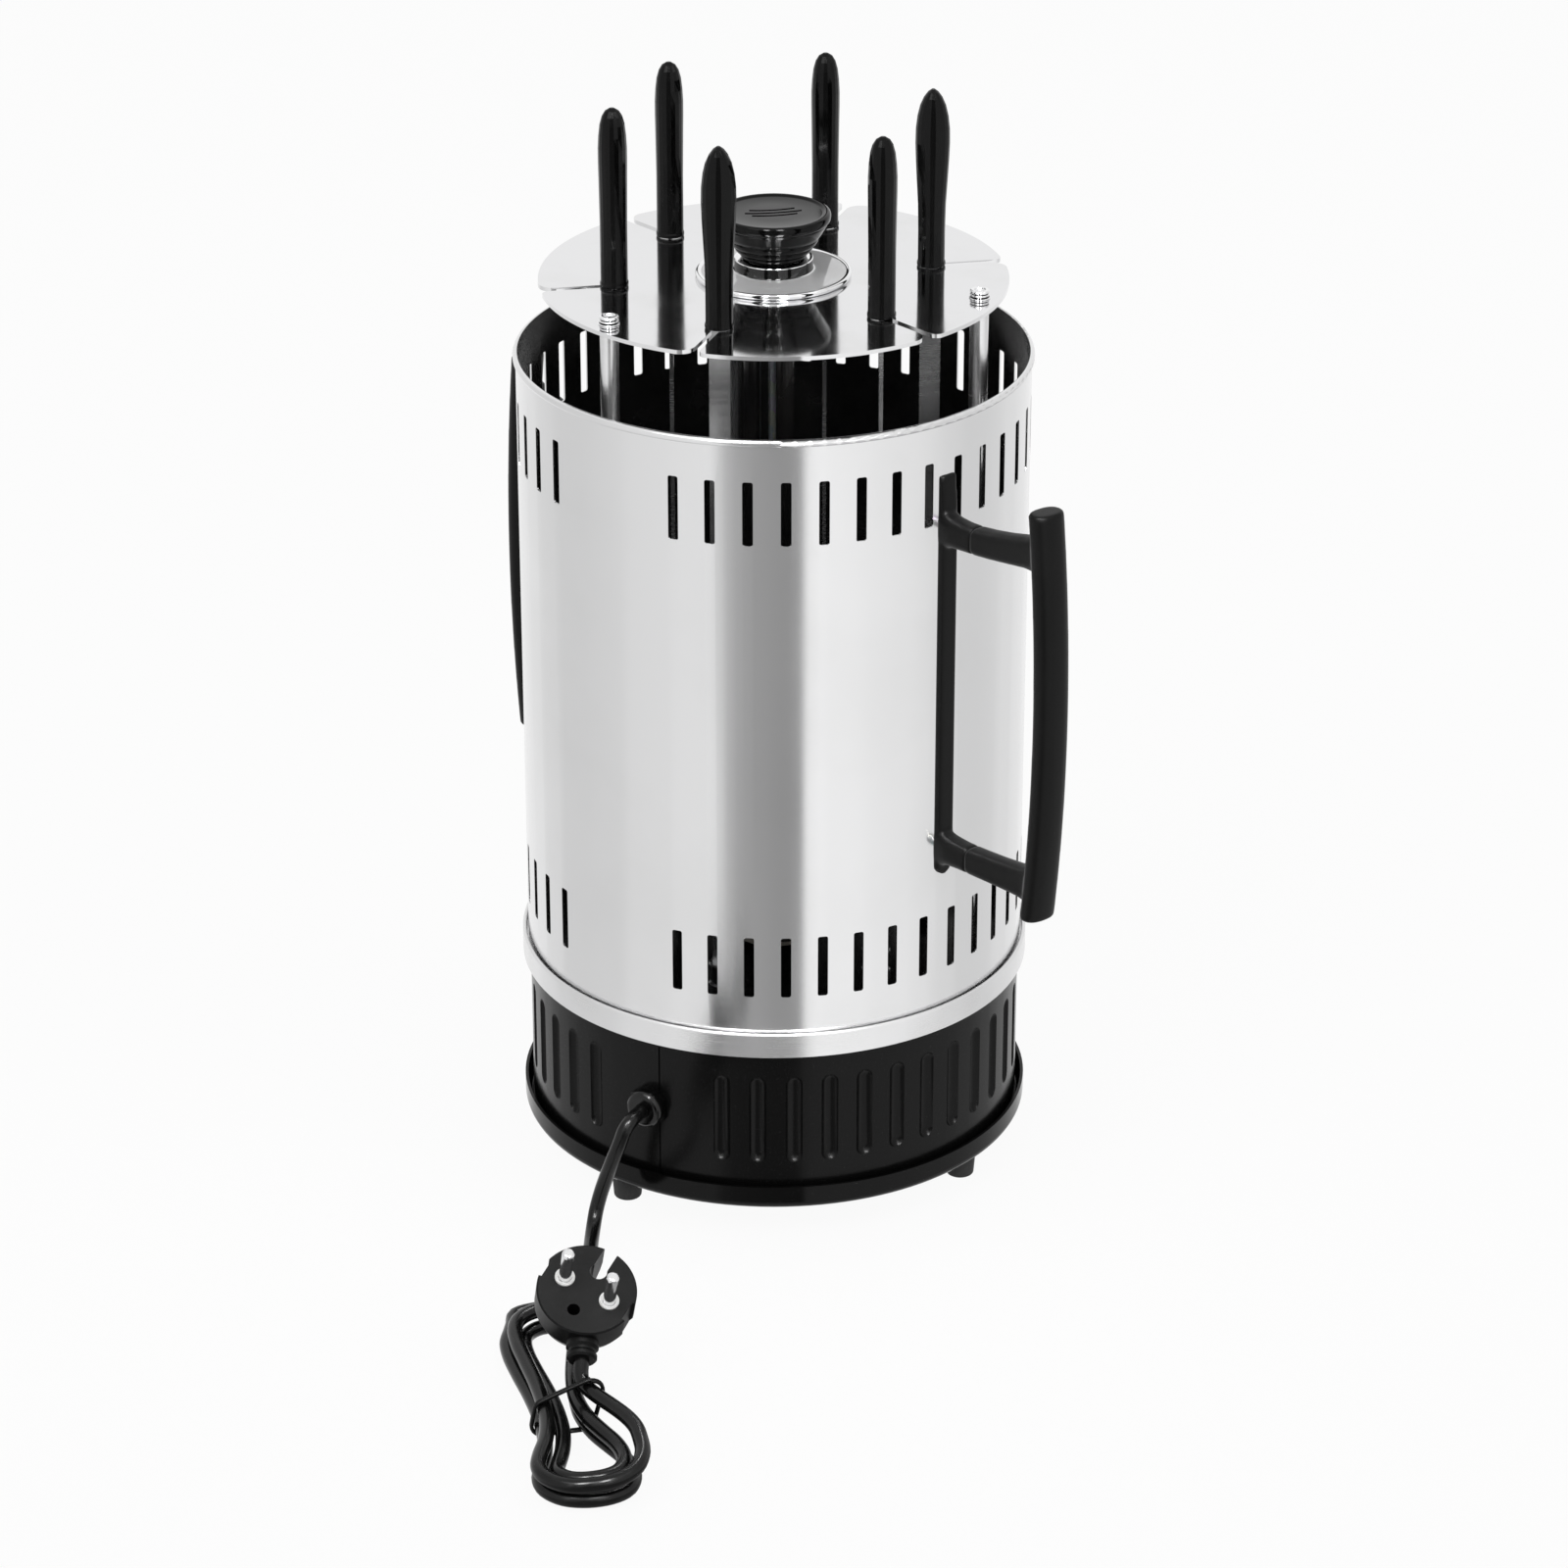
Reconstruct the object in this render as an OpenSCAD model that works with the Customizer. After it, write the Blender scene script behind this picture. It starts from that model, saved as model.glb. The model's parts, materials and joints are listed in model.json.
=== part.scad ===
// Vertical electric grill: six skewers turn round a central heater inside a
// lift-off slotted casing. Millimetres, Z up, origin under the middle of the feet.

/* [Base] */
// How much smaller the base housing is than the casing, in radius
housing_step = 0.7; // [0.5:0.1:1.2]
// Height of the base housing
housing_h = 72; // [70:0.5:90]
// Wall of the base housing
housing_wall = 3.2; // [2.8:0.1:4]
// Height of the long grooves pressed into the housing
groove_h = 39; // [20:1:50]
// Width of a groove at the surface
groove_w = 6.8; // [3:0.1:8]
// Depth of a groove
groove_deep = 2; // [0.6:0.1:2.2]
// Height of the first groove's foot over the tray floor
groove_rise = 18; // [8:1:25]
// Width of the housing's vertical seam
seam_w = 0.7; // [0.4:0.1:1.5]
// How far the bottom tray stands out past the housing
tray_out = 3.4; // [3:0.1:8]
// Height of the tray's upturned lip
tray_h = 10; // [6:0.5:14]
// Sheet of the bottom tray
tray_t = 1.2; // [0.8:0.1:2]
// Height of a rubber foot
foot_h = 12; // [8:0.5:20]
// Radius of a foot at its top
foot_r = 6.4; // [6:0.1:10]
// Distance of the feet in from the casing
foot_in = 9; // [8.5:0.5:20]
// How far the stainless base ring stands out past the housing
ring_out = 3; // [2.6:0.1:8]
// Height of the ring's skirt under its ledge
ring_skirt = 5.3; // [2:0.1:8]
// Height of the ring's lip over its ledge
ring_lip = 4; // [2:0.1:6]

/* [Casing] */
// Outer radius of the casing
casing_r = 100; // [99:0.1:104]
// Height of the casing with its rolled rim
casing_h = 250.7; // [220:0.5:275]
// Sheet of the casing
casing_t = 0.8; // [0.6:0.1:1.2]
// Radius of the bead rolled at the rim
bead_r = 1.5; // [1:0.1:2.5]
// Width of a vent slot
slot_w = 4; // [2:0.1:6]
// Height of a vent slot
slot_h = 25.6; // [10:0.1:40]
// Corner radius of a vent slot
slot_corner = 0.9; // [0.3:0.1:1.5]
// Height of the lower row of slots over the casing's foot
slot_low = 19; // [12:0.5:30]
// Distance of the upper row's foot under the rim
slot_high = 42.5; // [30:0.5:60]
// Angle between neighbouring slots
slot_pitch = 8.25; // [7:0.05:9]

/* [Casing handles] */
// Length of a grip
grip_h = 166.5; // [140:1:200]
// Distance of the grip's ends out from the casing
grip_out = 56; // [45:0.5:75]
// How far the middle of the grip bows outwards
grip_bow = 5; // [0:0.5:12]
// Width of a grip across
grip_w = 15; // [10:0.5:22]
// Thickness of a grip
grip_t = 10; // [7:0.5:14]
// Height of the near grip's middle over the casing's foot
grip_mid = 146; // [130:0.5:155]
// How much lower the far handle sits
far_drop = 26; // [0:0.5:30]
// Distance between the two arms of a handle, at the strip
arm_gap = 133.4; // [100:1:150]
// How much lower than the grip's middle the arms leave the strip
arm_drop = 5.2; // [0:0.1:8]
// How far an arm rises on its way out
arm_lift = 4; // [0:0.1:8]
// How far each arm spreads on its way out
arm_spread = 2.1; // [0:0.1:5]
// Height of an arm's section
arm_h = 12; // [8:0.5:16]
// Width of an arm's section
arm_w = 9; // [6:0.5:12]
// Width of the mounting strip
strip_w = 8; // [6:0.5:9]
// Thickness of the mounting strip
strip_t = 4; // [3:0.5:6]
// Length of the mounting strip
strip_h = 168; // [150:1:180]

/* [Top disc and knob] */
// Distance of the slotted top disc's rim in from the casing
disc_in = 9.4; // [7:0.1:14]
// Sheet of the top disc
disc_t = 1.6; // [1:0.1:2.5]
// Width of the six slits
slit_w = 3; // [2:0.1:4]
// Radius of a skewer hole
skewer_hole_r = 4.8; // [4.5:0.1:5]
// Length of the posts that carry the disc
post_h = 296.4; // [270:0.1:320]
// Radius of a post
post_r = 3.6; // [3.5:0.05:5]
// Distance of the posts in from the casing
post_in = 17.5; // [16:0.1:19]
// Radius of the knob's cap
knob_r = 22; // [18:0.1:26]
// Height of the knob
knob_h = 18.5; // [16:0.1:26]
// Radius of the chrome dish under the knob
dish_r = 30.1; // [26:0.1:36]
// Height of the chrome dish with the boss the knob stands on
dish_h = 7.6; // [6:0.1:12]

/* [Skewers] */
// Number of skewers
skewer_n = 6; // [6:1:6]
// Width of a flat blade
blade_w = 8; // [6:0.1:8.4]
// Thickness of a blade
blade_t = 1.5; // [1:0.1:2]
// Length of a skewer handle
handle_h = 70.3; // [50:0.5:90]
// Greatest width of a skewer handle
handle_w = 13.4; // [11:0.1:16]
// Greatest thickness of a skewer handle
handle_t = 11.2; // [9:0.1:14]
// Radius of a skewer socket
socket_r = 5.75; // [5.5:0.05:6.2]
// Depth of the slot in a socket
socket_deep = 6.5; // [4:0.1:7]

/* [Drive] */
// Gear module
gear_m = 2; // [1.95:0.01:2.02]
// Teeth of the central drive gear
drive_teeth = 45; // [45:1:45]
// Teeth of a skewer gear
skewer_teeth = 17; // [17:1:17]
// Teeth of the motor pinion
pinion_teeth = 9; // [9:1:9]
// Width of the gears
gear_w = 8; // [5:0.5:10]
// Radius of a spindle shaft
shaft_r = 4; // [3:0.05:4.3]
// Radius of the motor can
motor_r = 25; // [20:0.5:28]
// Height of the motor can
motor_h = 20; // [15:0.5:23]
// Thickness of the chassis and bearing plates
plate_t = 2; // [1.5:0.1:3]
// Height of the lower pillars
pillar_h = 25; // [24:0.5:30]
// Height of the pillars between the plates
standoff_h = 26; // [25:0.5:28]

/* [Heater] */
// Radius of a heater tube
tube_r = 3.5; // [2.5:0.1:4]
// Distance of the heater tubes from the axis
tube_at = 8.2; // [8:0.1:9]
// Radius of the lower ceramic holder
holder_r = 16; // [14:0.5:18]
// Height of the lower ceramic holder
holder_h = 16; // [14:0.5:17]
// Radius of the rod that ties the heater down
rod_r = 2; // [1.5:0.1:2.5]

/* [Cord] */
// Radius of the cord
cord_r = 3; // [2.5:0.1:3.1]
// Radius of the plug's face
plug_r = 18.9; // [17:0.1:20]
// Thickness of the plug
plug_t = 18.5; // [15:0.5:22]
// Length of the plug's pins
pin_h = 19; // [16:0.5:20]

/* [Hidden] */

$fn = 72;
// One overrun serves every cut
cut = 1;
// Clearance of a piece that turns in its bore
run_gap = 0.05;
// Clearance of a screw or stud in its hole
fit_gap = 0.1;
// Gap under a piece that rests loose on its seat
rest_gap = 0.3;
// Fillets and edges
edge_r = 0.6;

// Radii that follow the casing's
housing_r = casing_r - housing_step;
tray_r = housing_r + tray_out;
ring_r = housing_r + ring_out;
foot_at = casing_r - foot_in;
disc_r = casing_r - disc_in;
post_at = casing_r - post_in;
grip_at = casing_r + grip_out;

// Heights, from the floor up
tray_z = foot_h;
floor_z = tray_z + tray_t;
chassis_z = floor_z + pillar_h;
chassis_top = chassis_z + plate_t;
bearing_z = chassis_top + standoff_h;
bearing_top = bearing_z + plate_t;
ledge_t = 0.8;
ledge_z = floor_z + housing_h;
ledge_top = ledge_z + ledge_t;
casing_z = ledge_top + rest_gap;
disc_z = bearing_top + post_h;
disc_top = disc_z + disc_t;

// Places round the axis, as azimuths
skewer_az = 11;
post_az = 101.7;
motor_az = 41;
seam_az = -117;
gland_az = -119.5;
near_az = -50;
far_az = 130.6;
foot_mid_az = -82.2;
foot_spread = 48.1;
groove_az = -101.9;
slot_az = -112;
// Slots and grooves leave a plain panel beside the cord gland
plain_angle = 33.6;
row_right = 14;
row_left = 26;
function row(first) = concat(
    [for (i = [0 : row_right - 1]) first + slot_pitch * i],
    [for (i = [0 : row_left - 1]) first - plain_angle - slot_pitch * i]);
// Slots that a mounting strip would cover are left out of the lower row
strip_clear = 3.4;
function off_az(a, b) = abs(((a - b + 540) % 360 + 360) % 360 - 180);

// Skewers and gears
skewer_at = gear_m * (drive_teeth + skewer_teeth) / 2;
pinion_at = gear_m * (drive_teeth + pinion_teeth) / 2;
gear_lift = 6;
gear_z = chassis_top + gear_lift;
drive_phase = 0;
pressure = 25;
addendum_share = 0.84;
dedendum_share = 1.1;
backlash = 0.3;
// The way each socket's slot faces when the grill rests
facing = [0, 90, 90, 90, 0, 90];

module at(az, r = 0, z = 0) {
    rotate([0, 0, az]) translate([r, 0, z]) children();
}

module ring_of(n, first = 0, r = 0, z = 0) {
    for (i = [0 : n - 1]) at(first + i * 360 / n, r, z) children();
}

module bore(r, h) {
    translate([0, 0, -cut]) cylinder(r = r, h = h + 2 * cut);
}

module tube(r_out, r_in, h) {
    difference() {
        cylinder(r = r_out, h = h);
        bore(r_in, h);
    }
}

// Points of an arc, for profiles
function arc(x, y, r, a0, a1, n) = [for (i = [0 : n]) let (a = a0 + (a1 - a0) * i / n)
    [x + r * cos(a), y + r * sin(a)]];

function unit(v) = v / norm(v);

// One closed skin over a list of rings that all have the same number of points
module skin(rings) {
    n = len(rings[0]);
    m = len(rings);
    walls = [for (j = [0 : m - 2]) for (i = [0 : n - 1]) each [
        [j * n + i, j * n + (i + 1) % n, (j + 1) * n + i],
        [j * n + (i + 1) % n, (j + 1) * n + (i + 1) % n, (j + 1) * n + i]]];
    foot = [for (i = [1 : n - 2]) [0, i + 1, i]];
    head = [for (i = [1 : n - 2]) [(m - 1) * n, (m - 1) * n + i, (m - 1) * n + i + 1]];
    polyhedron(points = [for (r = rings) each r], faces = [for (f = concat(walls, foot, head))
        [f[2], f[1], f[0]]], convexity = 6);
}

// A round tube swept along points, with frames carried from ring to ring
module sweep(path, r, sides) {
    last = len(path) - 1;
    dirs = [for (i = [0 : last]) unit(path[min(i + 1, last)] - path[max(i - 1, 0)])];
    start = unit(cross(dirs[0], [0, 0, 1]));
    normals = [for (i = 0, n = start; i <= last;
        i = i + 1, n = i > last ? n : unit(n - (n * dirs[i]) * dirs[i])) n];
    skin([for (i = [0 : last]) let (a = normals[i], b = cross(dirs[i], normals[i]))
        [for (k = [0 : sides - 1]) let (t = 360 * k / sides)
            path[i] + r * (cos(t) * a + sin(t) * b)]]);
}

// An involute tooth's half angle at radius q, for a gear with pitch radius p
function inv(a) = tan(a) * 180 / PI - a;
function half_angle(q, p) = let (base = p * cos(pressure), rest = q > base ? acos(base / q) : 0)
    (gear_m * PI / 2 - backlash / 2) / p * 90 / PI + inv(pressure) - inv(rest);

module gear_outline(teeth) {
    p = gear_m * teeth / 2;
    tip = p + addendum_share * gear_m;
    root = p - dedendum_share * gear_m;
    base = max(p * cos(pressure), root);
    steps = 3;
    flank = concat([[root, half_angle(base, p)]],
        [for (i = [0 : steps]) let (q = base + (tip - base) * i / steps) [q, half_angle(q, p)]]);
    top = len(flank) - 1;
    polygon([for (t = [0 : teeth - 1]) let (c = t * 360 / teeth) each concat(
        [for (i = [0 : top]) flank[i][0] * [cos(c - flank[i][1]), sin(c - flank[i][1])]],
        [for (i = [top : -1 : 0]) flank[i][0] * [cos(c + flank[i][1]), sin(c + flank[i][1])]])]);
}

// Angle that brings a gear at azimuth az into mesh with the drive gear
function mesh_angle(az, teeth) = let (pitch_c = 360 / drive_teeth,
    ahead = ((drive_phase - az) % pitch_c + pitch_c) % pitch_c)
    az + 180 - ahead * drive_teeth / teeth + 180 / teeth;

// Base tray: a shallow pan with a rounded foot edge
tray_round = 3.2;
vent_n = 16;
vent_w = 3;
vent_l = 20;
vent_at = 42;
foot_bolt_r = 2;
foot_az = [foot_mid_az - foot_spread, foot_mid_az + foot_spread,
    foot_mid_az - foot_spread + 180, foot_mid_az + foot_spread + 180];

module base_tray() color("black") difference() {
    rotate_extrude() polygon(concat(
        [[0, tray_z]],
        arc(tray_r - tray_round, tray_z + tray_round, tray_round, -90, 0, 5),
        [[tray_r, floor_z + tray_h - tray_t], [tray_r - tray_t, floor_z + tray_h - tray_t]],
        arc(tray_r - tray_round, tray_z + tray_round, tray_round - tray_t, 0, -90, 5),
        [[0, floor_z]]));
    for (a = foot_az) at(a, foot_at, tray_z) bore(foot_bolt_r + fit_gap, tray_t);
    ring_of(3, post_az, post_at, tray_z) bore(foot_bolt_r + fit_gap, tray_t);
    ring_of(vent_n, 0, vent_at, tray_z) translate([0, -vent_w / 2, -cut])
        cube([vent_l, vent_w, tray_t + 2 * cut]);
}

// Rubber feet, each with a sunk seat for its screw
foot_foot_r = 5.6;
foot_round = 1.2;
screw_head_r = 3.4;
screw_head_h = 2.2;
foot_sink = 5;

module feet() color("#1a1a1a") for (a = foot_az) at(a, foot_at) rotate_extrude() polygon(concat(
    [[screw_head_r + fit_gap, 0]],
    arc(foot_foot_r - foot_round, foot_round, foot_round, -90, 0, 4),
    [[foot_r, foot_h - edge_r], [foot_r, foot_h], [foot_bolt_r + fit_gap, foot_h],
        [foot_bolt_r + fit_gap, foot_sink], [screw_head_r + fit_gap, foot_sink]]));

// Screws that hold the feet, with their nuts, and the screws up into the pillars
bolt_nut_r = 4;
bolt_nut_h = 3;
pillar_screw_l = 9;

module base_screw(head_z, length) {
    translate([0, 0, head_z - screw_head_h]) difference() {
        cylinder(r = screw_head_r, h = screw_head_h);
        translate([0, 0, -cut]) cylinder(r = screw_head_r / 3, h = cut + screw_head_h / 2, $fn = 6);
    }
    translate([0, 0, head_z]) cylinder(r = foot_bolt_r, h = length);
}

module base_screws() color("silver") {
    for (a = foot_az) at(a, foot_at) {
        base_screw(foot_sink, floor_z + bolt_nut_h - foot_sink);
        translate([0, 0, floor_z]) difference() {
            cylinder(r = bolt_nut_r, h = bolt_nut_h, $fn = 6);
            bore(foot_bolt_r, bolt_nut_h);
        }
    }
    ring_of(3, post_az, post_at) base_screw(tray_z, pillar_screw_l);
    at(motor_az, pinion_at, chassis_z - motor_ear_t) rotate(ear_turn) for (s = [-1, 1]) translate([s * ear_at, 0, 0]) {
        cylinder(r = ear_screw_r, h = motor_ear_t + 2 * plate_t);
        translate([0, 0, -screw_head_h]) cylinder(r = screw_head_r, h = screw_head_h);
    }
}

// Base housing: a drum with round-ended grooves and a vertical seam
gland_z = 50.8;
gland_r = 6;
groove_r = (pow(groove_w / 2, 2) + pow(groove_deep, 2)) / (2 * groove_deep);
groove_out = housing_r + groove_r - groove_deep;
seam_deep = 0.6;

module groove() {
    reach = groove_h / 2 - groove_r;
    translate([0, 0, -reach]) cylinder(r = groove_r, h = 2 * reach, $fn = 32);
    for (s = [-1, 1]) translate([0, 0, s * reach]) sphere(r = groove_r, $fn = 32);
}

module base_housing() color("#161616") difference() {
    translate([0, 0, floor_z]) cylinder(r = housing_r, h = housing_h);
    translate([0, 0, floor_z - cut]) cylinder(r = housing_r - housing_wall, h = housing_h + 2 * cut);
    for (a = row(groove_az)) at(a, groove_out, floor_z + groove_rise + groove_h / 2) groove();
    at(seam_az, housing_r - seam_deep, floor_z - cut) translate([0, -seam_w / 2, 0])
        cube([seam_deep + cut, seam_w, housing_h + 2 * cut]);
    at(gland_az, housing_r, gland_z) rotate([0, 90, 0])
        cylinder(r = gland_r + fit_gap, h = 3 * housing_wall, center = true);
}

// Base ring: skirt, rounded shoulder, gutter for the casing and inner ledge
ring_t = 0.8;
ring_gutter = 0.7;
ledge_in = 10;
ledge_r = casing_r - ledge_in;
lip_in = casing_r + ring_gutter;
lip_round = (ring_r - lip_in) / 2;

module base_ring() color("silver") rotate_extrude() polygon(concat(
    [[ledge_r, ledge_z], [ring_r - ring_t, ledge_z], [ring_r - ring_t, ledge_z - ring_skirt],
        [ring_r, ledge_z - ring_skirt]],
    arc(ring_r - lip_round, ledge_top + ring_lip - lip_round, lip_round, 0, 180, 8),
    [[lip_in, ledge_top], [ledge_r, ledge_top]]));

// Pillars under and over the chassis plate, each with a stud on top
pillar_r = 5;
stud_r = 1.9;
stud_h = 9;
hole_h = 10;

module pillar(h) {
    difference() {
        cylinder(r = pillar_r, h = h);
        translate([0, 0, -cut]) cylinder(r = foot_bolt_r + fit_gap, h = hole_h + cut);
    }
    translate([0, 0, h - edge_r]) cylinder(r = stud_r, h = plate_t + stud_h + edge_r);
}

module pillars() color("silver") ring_of(3, post_az, post_at) {
    translate([0, 0, floor_z]) pillar(pillar_h);
    translate([0, 0, chassis_top]) pillar(standoff_h);
}

// Plates that carry the gear train
plate_in = 4.3;
plate_r = housing_r - plate_in;
bush_r = 6;
bush_flange_r = 8;
bush_flange_t = 2;
sleeve_r = 9;
sleeve_spigot_r = 6;
lead_r = 3;
ear_at = 29;
ear_turn = 45;
ear_screw_r = 1.7;
motor_boss_r = 6;

module plate(centre_r) difference() {
    cylinder(r = plate_r, h = plate_t);
    ring_of(skewer_n, skewer_az, skewer_at) bore(bush_r, plate_t);
    ring_of(3, post_az, post_at) bore(foot_bolt_r + fit_gap, plate_t);
    bore(centre_r, plate_t);
}

module chassis_plate() color("silver") translate([0, 0, chassis_z]) difference() {
    plate(sleeve_spigot_r + fit_gap);
    at(motor_az, pinion_at) {
        bore(motor_boss_r + fit_gap, plate_t);
        for (s = [-1, 1]) rotate(ear_turn) translate([s * ear_at, 0, 0]) bore(ear_screw_r + fit_gap, plate_t);
    }
}

module bearing_plate() color("silver") translate([0, 0, bearing_z]) plate(rod_r + fit_gap);

// Flanged bushes, two for each spindle
bush_h = 6;

module spindle_bushes() color("#b08040") ring_of(skewer_n, skewer_az, skewer_at) {
    for (z = [chassis_top, bearing_top]) translate([0, 0, z - bush_h + bush_flange_t]) difference() {
        union() {
            cylinder(r = bush_r, h = bush_h);
            translate([0, 0, bush_h - bush_flange_t]) cylinder(r = bush_flange_r, h = bush_flange_t);
        }
        bore(shaft_r + run_gap, bush_h);
    }
}

// Fixed sleeve that the drive gear turns on
sleeve_flange_r = 15;
sleeve_flange_t = 2;
sleeve_top = 4;

module centre_sleeve() color("#8c8c8c") difference() {
    union() {
        translate([0, 0, chassis_z]) cylinder(r = sleeve_spigot_r, h = plate_t + edge_r);
        translate([0, 0, chassis_top]) cylinder(r = sleeve_flange_r, h = sleeve_flange_t);
        translate([0, 0, chassis_top]) cylinder(r = sleeve_r, h = gear_lift + gear_w + sleeve_top);
    }
    translate([0, 0, chassis_z]) bore(lead_r, gear_lift + gear_w + sleeve_top + plate_t);
}

// Geared motor under the chassis plate
motor_ear_t = 2;
ear_r = 5;
motor_shaft_r = 3;
motor_shaft_l = 8;

module motor() color("#7a7a7a") at(motor_az, pinion_at, chassis_z) difference() {
    union() {
        translate([0, 0, -motor_h]) cylinder(r = motor_r, h = motor_h);
        cylinder(r = motor_boss_r, h = plate_t);
        rotate(ear_turn) for (s = [-1, 1]) translate([s * ear_at, 0, -motor_ear_t])
            cylinder(r = ear_r, h = motor_ear_t);
        rotate(ear_turn) translate([-ear_at, -ear_r, -motor_ear_t])
            cube([2 * ear_at, 2 * ear_r, motor_ear_t]);
    }
    rotate(ear_turn) for (s = [-1, 1]) translate([s * ear_at, 0, -motor_ear_t])
        bore(ear_screw_r + fit_gap, motor_ear_t);
    translate([0, 0, -motor_shaft_l]) cylinder(r = motor_shaft_r + run_gap, h = motor_shaft_l + plate_t + cut);
}

pinion_hub_r = 5.5;
pinion_over = 0.5;

module motor_pinion() color("#d8d0b8") at(motor_az, pinion_at) {
    rotate([0, 0, mesh_angle(motor_az, pinion_teeth) - motor_az]) {
        translate([0, 0, gear_z - pinion_over]) linear_extrude(gear_w + 2 * pinion_over)
            gear_outline(pinion_teeth);
        translate([0, 0, chassis_top + rest_gap]) cylinder(r = pinion_hub_r,
            h = gear_lift - rest_gap);
        translate([0, 0, chassis_z - motor_shaft_l + rest_gap]) cylinder(r = motor_shaft_r,
            h = motor_shaft_l + plate_t + gear_lift);
    }
}

// Drive gear with a thin web and round openings
drive_hub_r = 14;
drive_web_t = 3;
drive_rim = 5;
web_hole_r = 7;
drive_root = gear_m * (drive_teeth / 2 - dedendum_share);
hub_z = chassis_top + sleeve_flange_t + rest_gap;

module drive_gear() color("#d8d0b8") difference() {
    union() {
        translate([0, 0, gear_z]) linear_extrude(gear_w) rotate(drive_phase) gear_outline(drive_teeth);
        translate([0, 0, hub_z]) cylinder(r = drive_hub_r, h = gear_z + gear_w + sleeve_top - hub_z - edge_r);
    }
    for (z = [gear_z - cut, gear_z + (gear_w + drive_web_t) / 2]) translate([0, 0, z]) difference() {
        cylinder(r = drive_root - drive_rim, h = (gear_w - drive_web_t) / 2 + cut);
        translate([0, 0, -cut]) cylinder(r = drive_hub_r, h = gear_w + 2 * cut);
    }
    ring_of(6, 30, (drive_hub_r + drive_root - drive_rim) / 2, gear_z) bore(web_hole_r, gear_w);
    translate([0, 0, hub_z]) bore(sleeve_r + run_gap, gear_z + gear_w + sleeve_top - hub_z);
}

// Skewer gears, pressed on the spindles
gear_hub_r = 8;
gear_hub_top = 3;
gear_bore_r = shaft_r + 0.4 * run_gap;

module skewer_gear(i) {
    az = skewer_az + i * 360 / skewer_n;
    color("#d8d0b8") at(az, skewer_at) difference() {
        union() {
            translate([0, 0, gear_z]) linear_extrude(gear_w)
                rotate(mesh_angle(az, skewer_teeth) - az) gear_outline(skewer_teeth);
            translate([0, 0, hub_z]) cylinder(r = gear_hub_r, h = gear_z + gear_w + gear_hub_top - hub_z);
        }
        translate([0, 0, hub_z]) bore(gear_bore_r, gear_z + gear_w + gear_hub_top - hub_z);
    }
}

// Spindles: a shaft, and over the drip pan a waisted socket with a slot for the blade
shaft_under = 2;
pan_neck_h = 2.7;
pan_deep = 4;
pan_t = 0.8;
pan_z = ledge_top + pan_t - pan_deep - pan_t;
neck_top = pan_z + pan_t + pan_neck_h;
socket_z = neck_top + 2 * rest_gap;
socket_h = 14;
waist_r = 5;
waist_h = 1.5;
socket_low_h = 5.5;
socket_top = socket_z + socket_h;
blade_gap = 0.2;

module spindle(i) {
    az = skewer_az + i * 360 / skewer_n;
    color("#c8c8c8") at(az, skewer_at) rotate([0, 0, facing[i] - az]) difference() {
        union() {
            translate([0, 0, chassis_z - shaft_under])
                cylinder(r = shaft_r, h = socket_z + edge_r - chassis_z + shaft_under);
            rotate_extrude() polygon([[0, socket_z], [socket_r - edge_r, socket_z],
                [socket_r, socket_z + edge_r], [socket_r, socket_z + socket_low_h - edge_r],
                [waist_r, socket_z + socket_low_h], [waist_r, socket_z + socket_low_h + waist_h],
                [socket_r, socket_z + socket_low_h + waist_h + edge_r],
                [socket_r, socket_top - edge_r], [socket_r - edge_r, socket_top], [0, socket_top]]);
        }
        translate([-blade_w / 2 - blade_gap, -blade_t / 2 - blade_gap, socket_top - socket_deep])
            cube([blade_w + 2 * blade_gap, blade_t + 2 * blade_gap, socket_deep + cut]);
    }
}

// Skewer blade: a flat bar with a cut tip, held in the handle
blade_z = socket_top - socket_deep + rest_gap;
blade_in = 24;
tip_h = 3;
tip_share = 0.55;
handle_z = disc_top + rest_gap;

module skewer_blade(i) {
    az = skewer_az + i * 360 / skewer_n;
    color("silver") at(az, skewer_at) rotate([90, 0, facing[i] - az])
        translate([0, 0, -blade_t / 2]) linear_extrude(blade_t) polygon([
            [-blade_w / 2 * tip_share, blade_z], [blade_w / 2 * tip_share, blade_z],
            [blade_w / 2, blade_z + tip_h], [blade_w / 2, handle_z + blade_in],
            [-blade_w / 2, handle_z + blade_in], [-blade_w / 2, blade_z + tip_h]]);
}

// Skewer handle: ellipses along its height, as shares of height, width and thickness
handle_shares = [[0, 0.79, 0.95], [0.004, 0.83, 0.99], [0.018, 0.83, 0.99], [0.026, 0.78, 0.94],
    [0.2, 0.78, 0.94], [0.35, 0.81, 0.94], [0.48, 0.89, 0.96], [0.6, 0.96, 0.98], [0.7, 1, 1],
    [0.78, 0.985, 1], [0.85, 0.9, 0.95], [0.91, 0.75, 0.86], [0.955, 0.54, 0.7],
    [0.985, 0.31, 0.47], [1, 0.1, 0.16]];
handle_sides = 20;

module skewer_handle(i) {
    az = skewer_az + i * 360 / skewer_n;
    color("#141414") at(az, skewer_at, handle_z) rotate([0, 0, facing[i] - az]) difference() {
        skin([for (s = handle_shares) [for (k = [0 : handle_sides - 1])
            let (t = (k + 0.5) * 360 / handle_sides)
            [handle_w / 2 * s[1] * cos(t), handle_t / 2 * s[2] * sin(t), handle_h * s[0]]]]);
        translate([-blade_w / 2 - fit_gap, -blade_t / 2 - fit_gap, -cut])
            cube([blade_w + 2 * fit_gap, blade_t + 2 * fit_gap, blade_in + fit_gap + cut]);
    }
}

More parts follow.
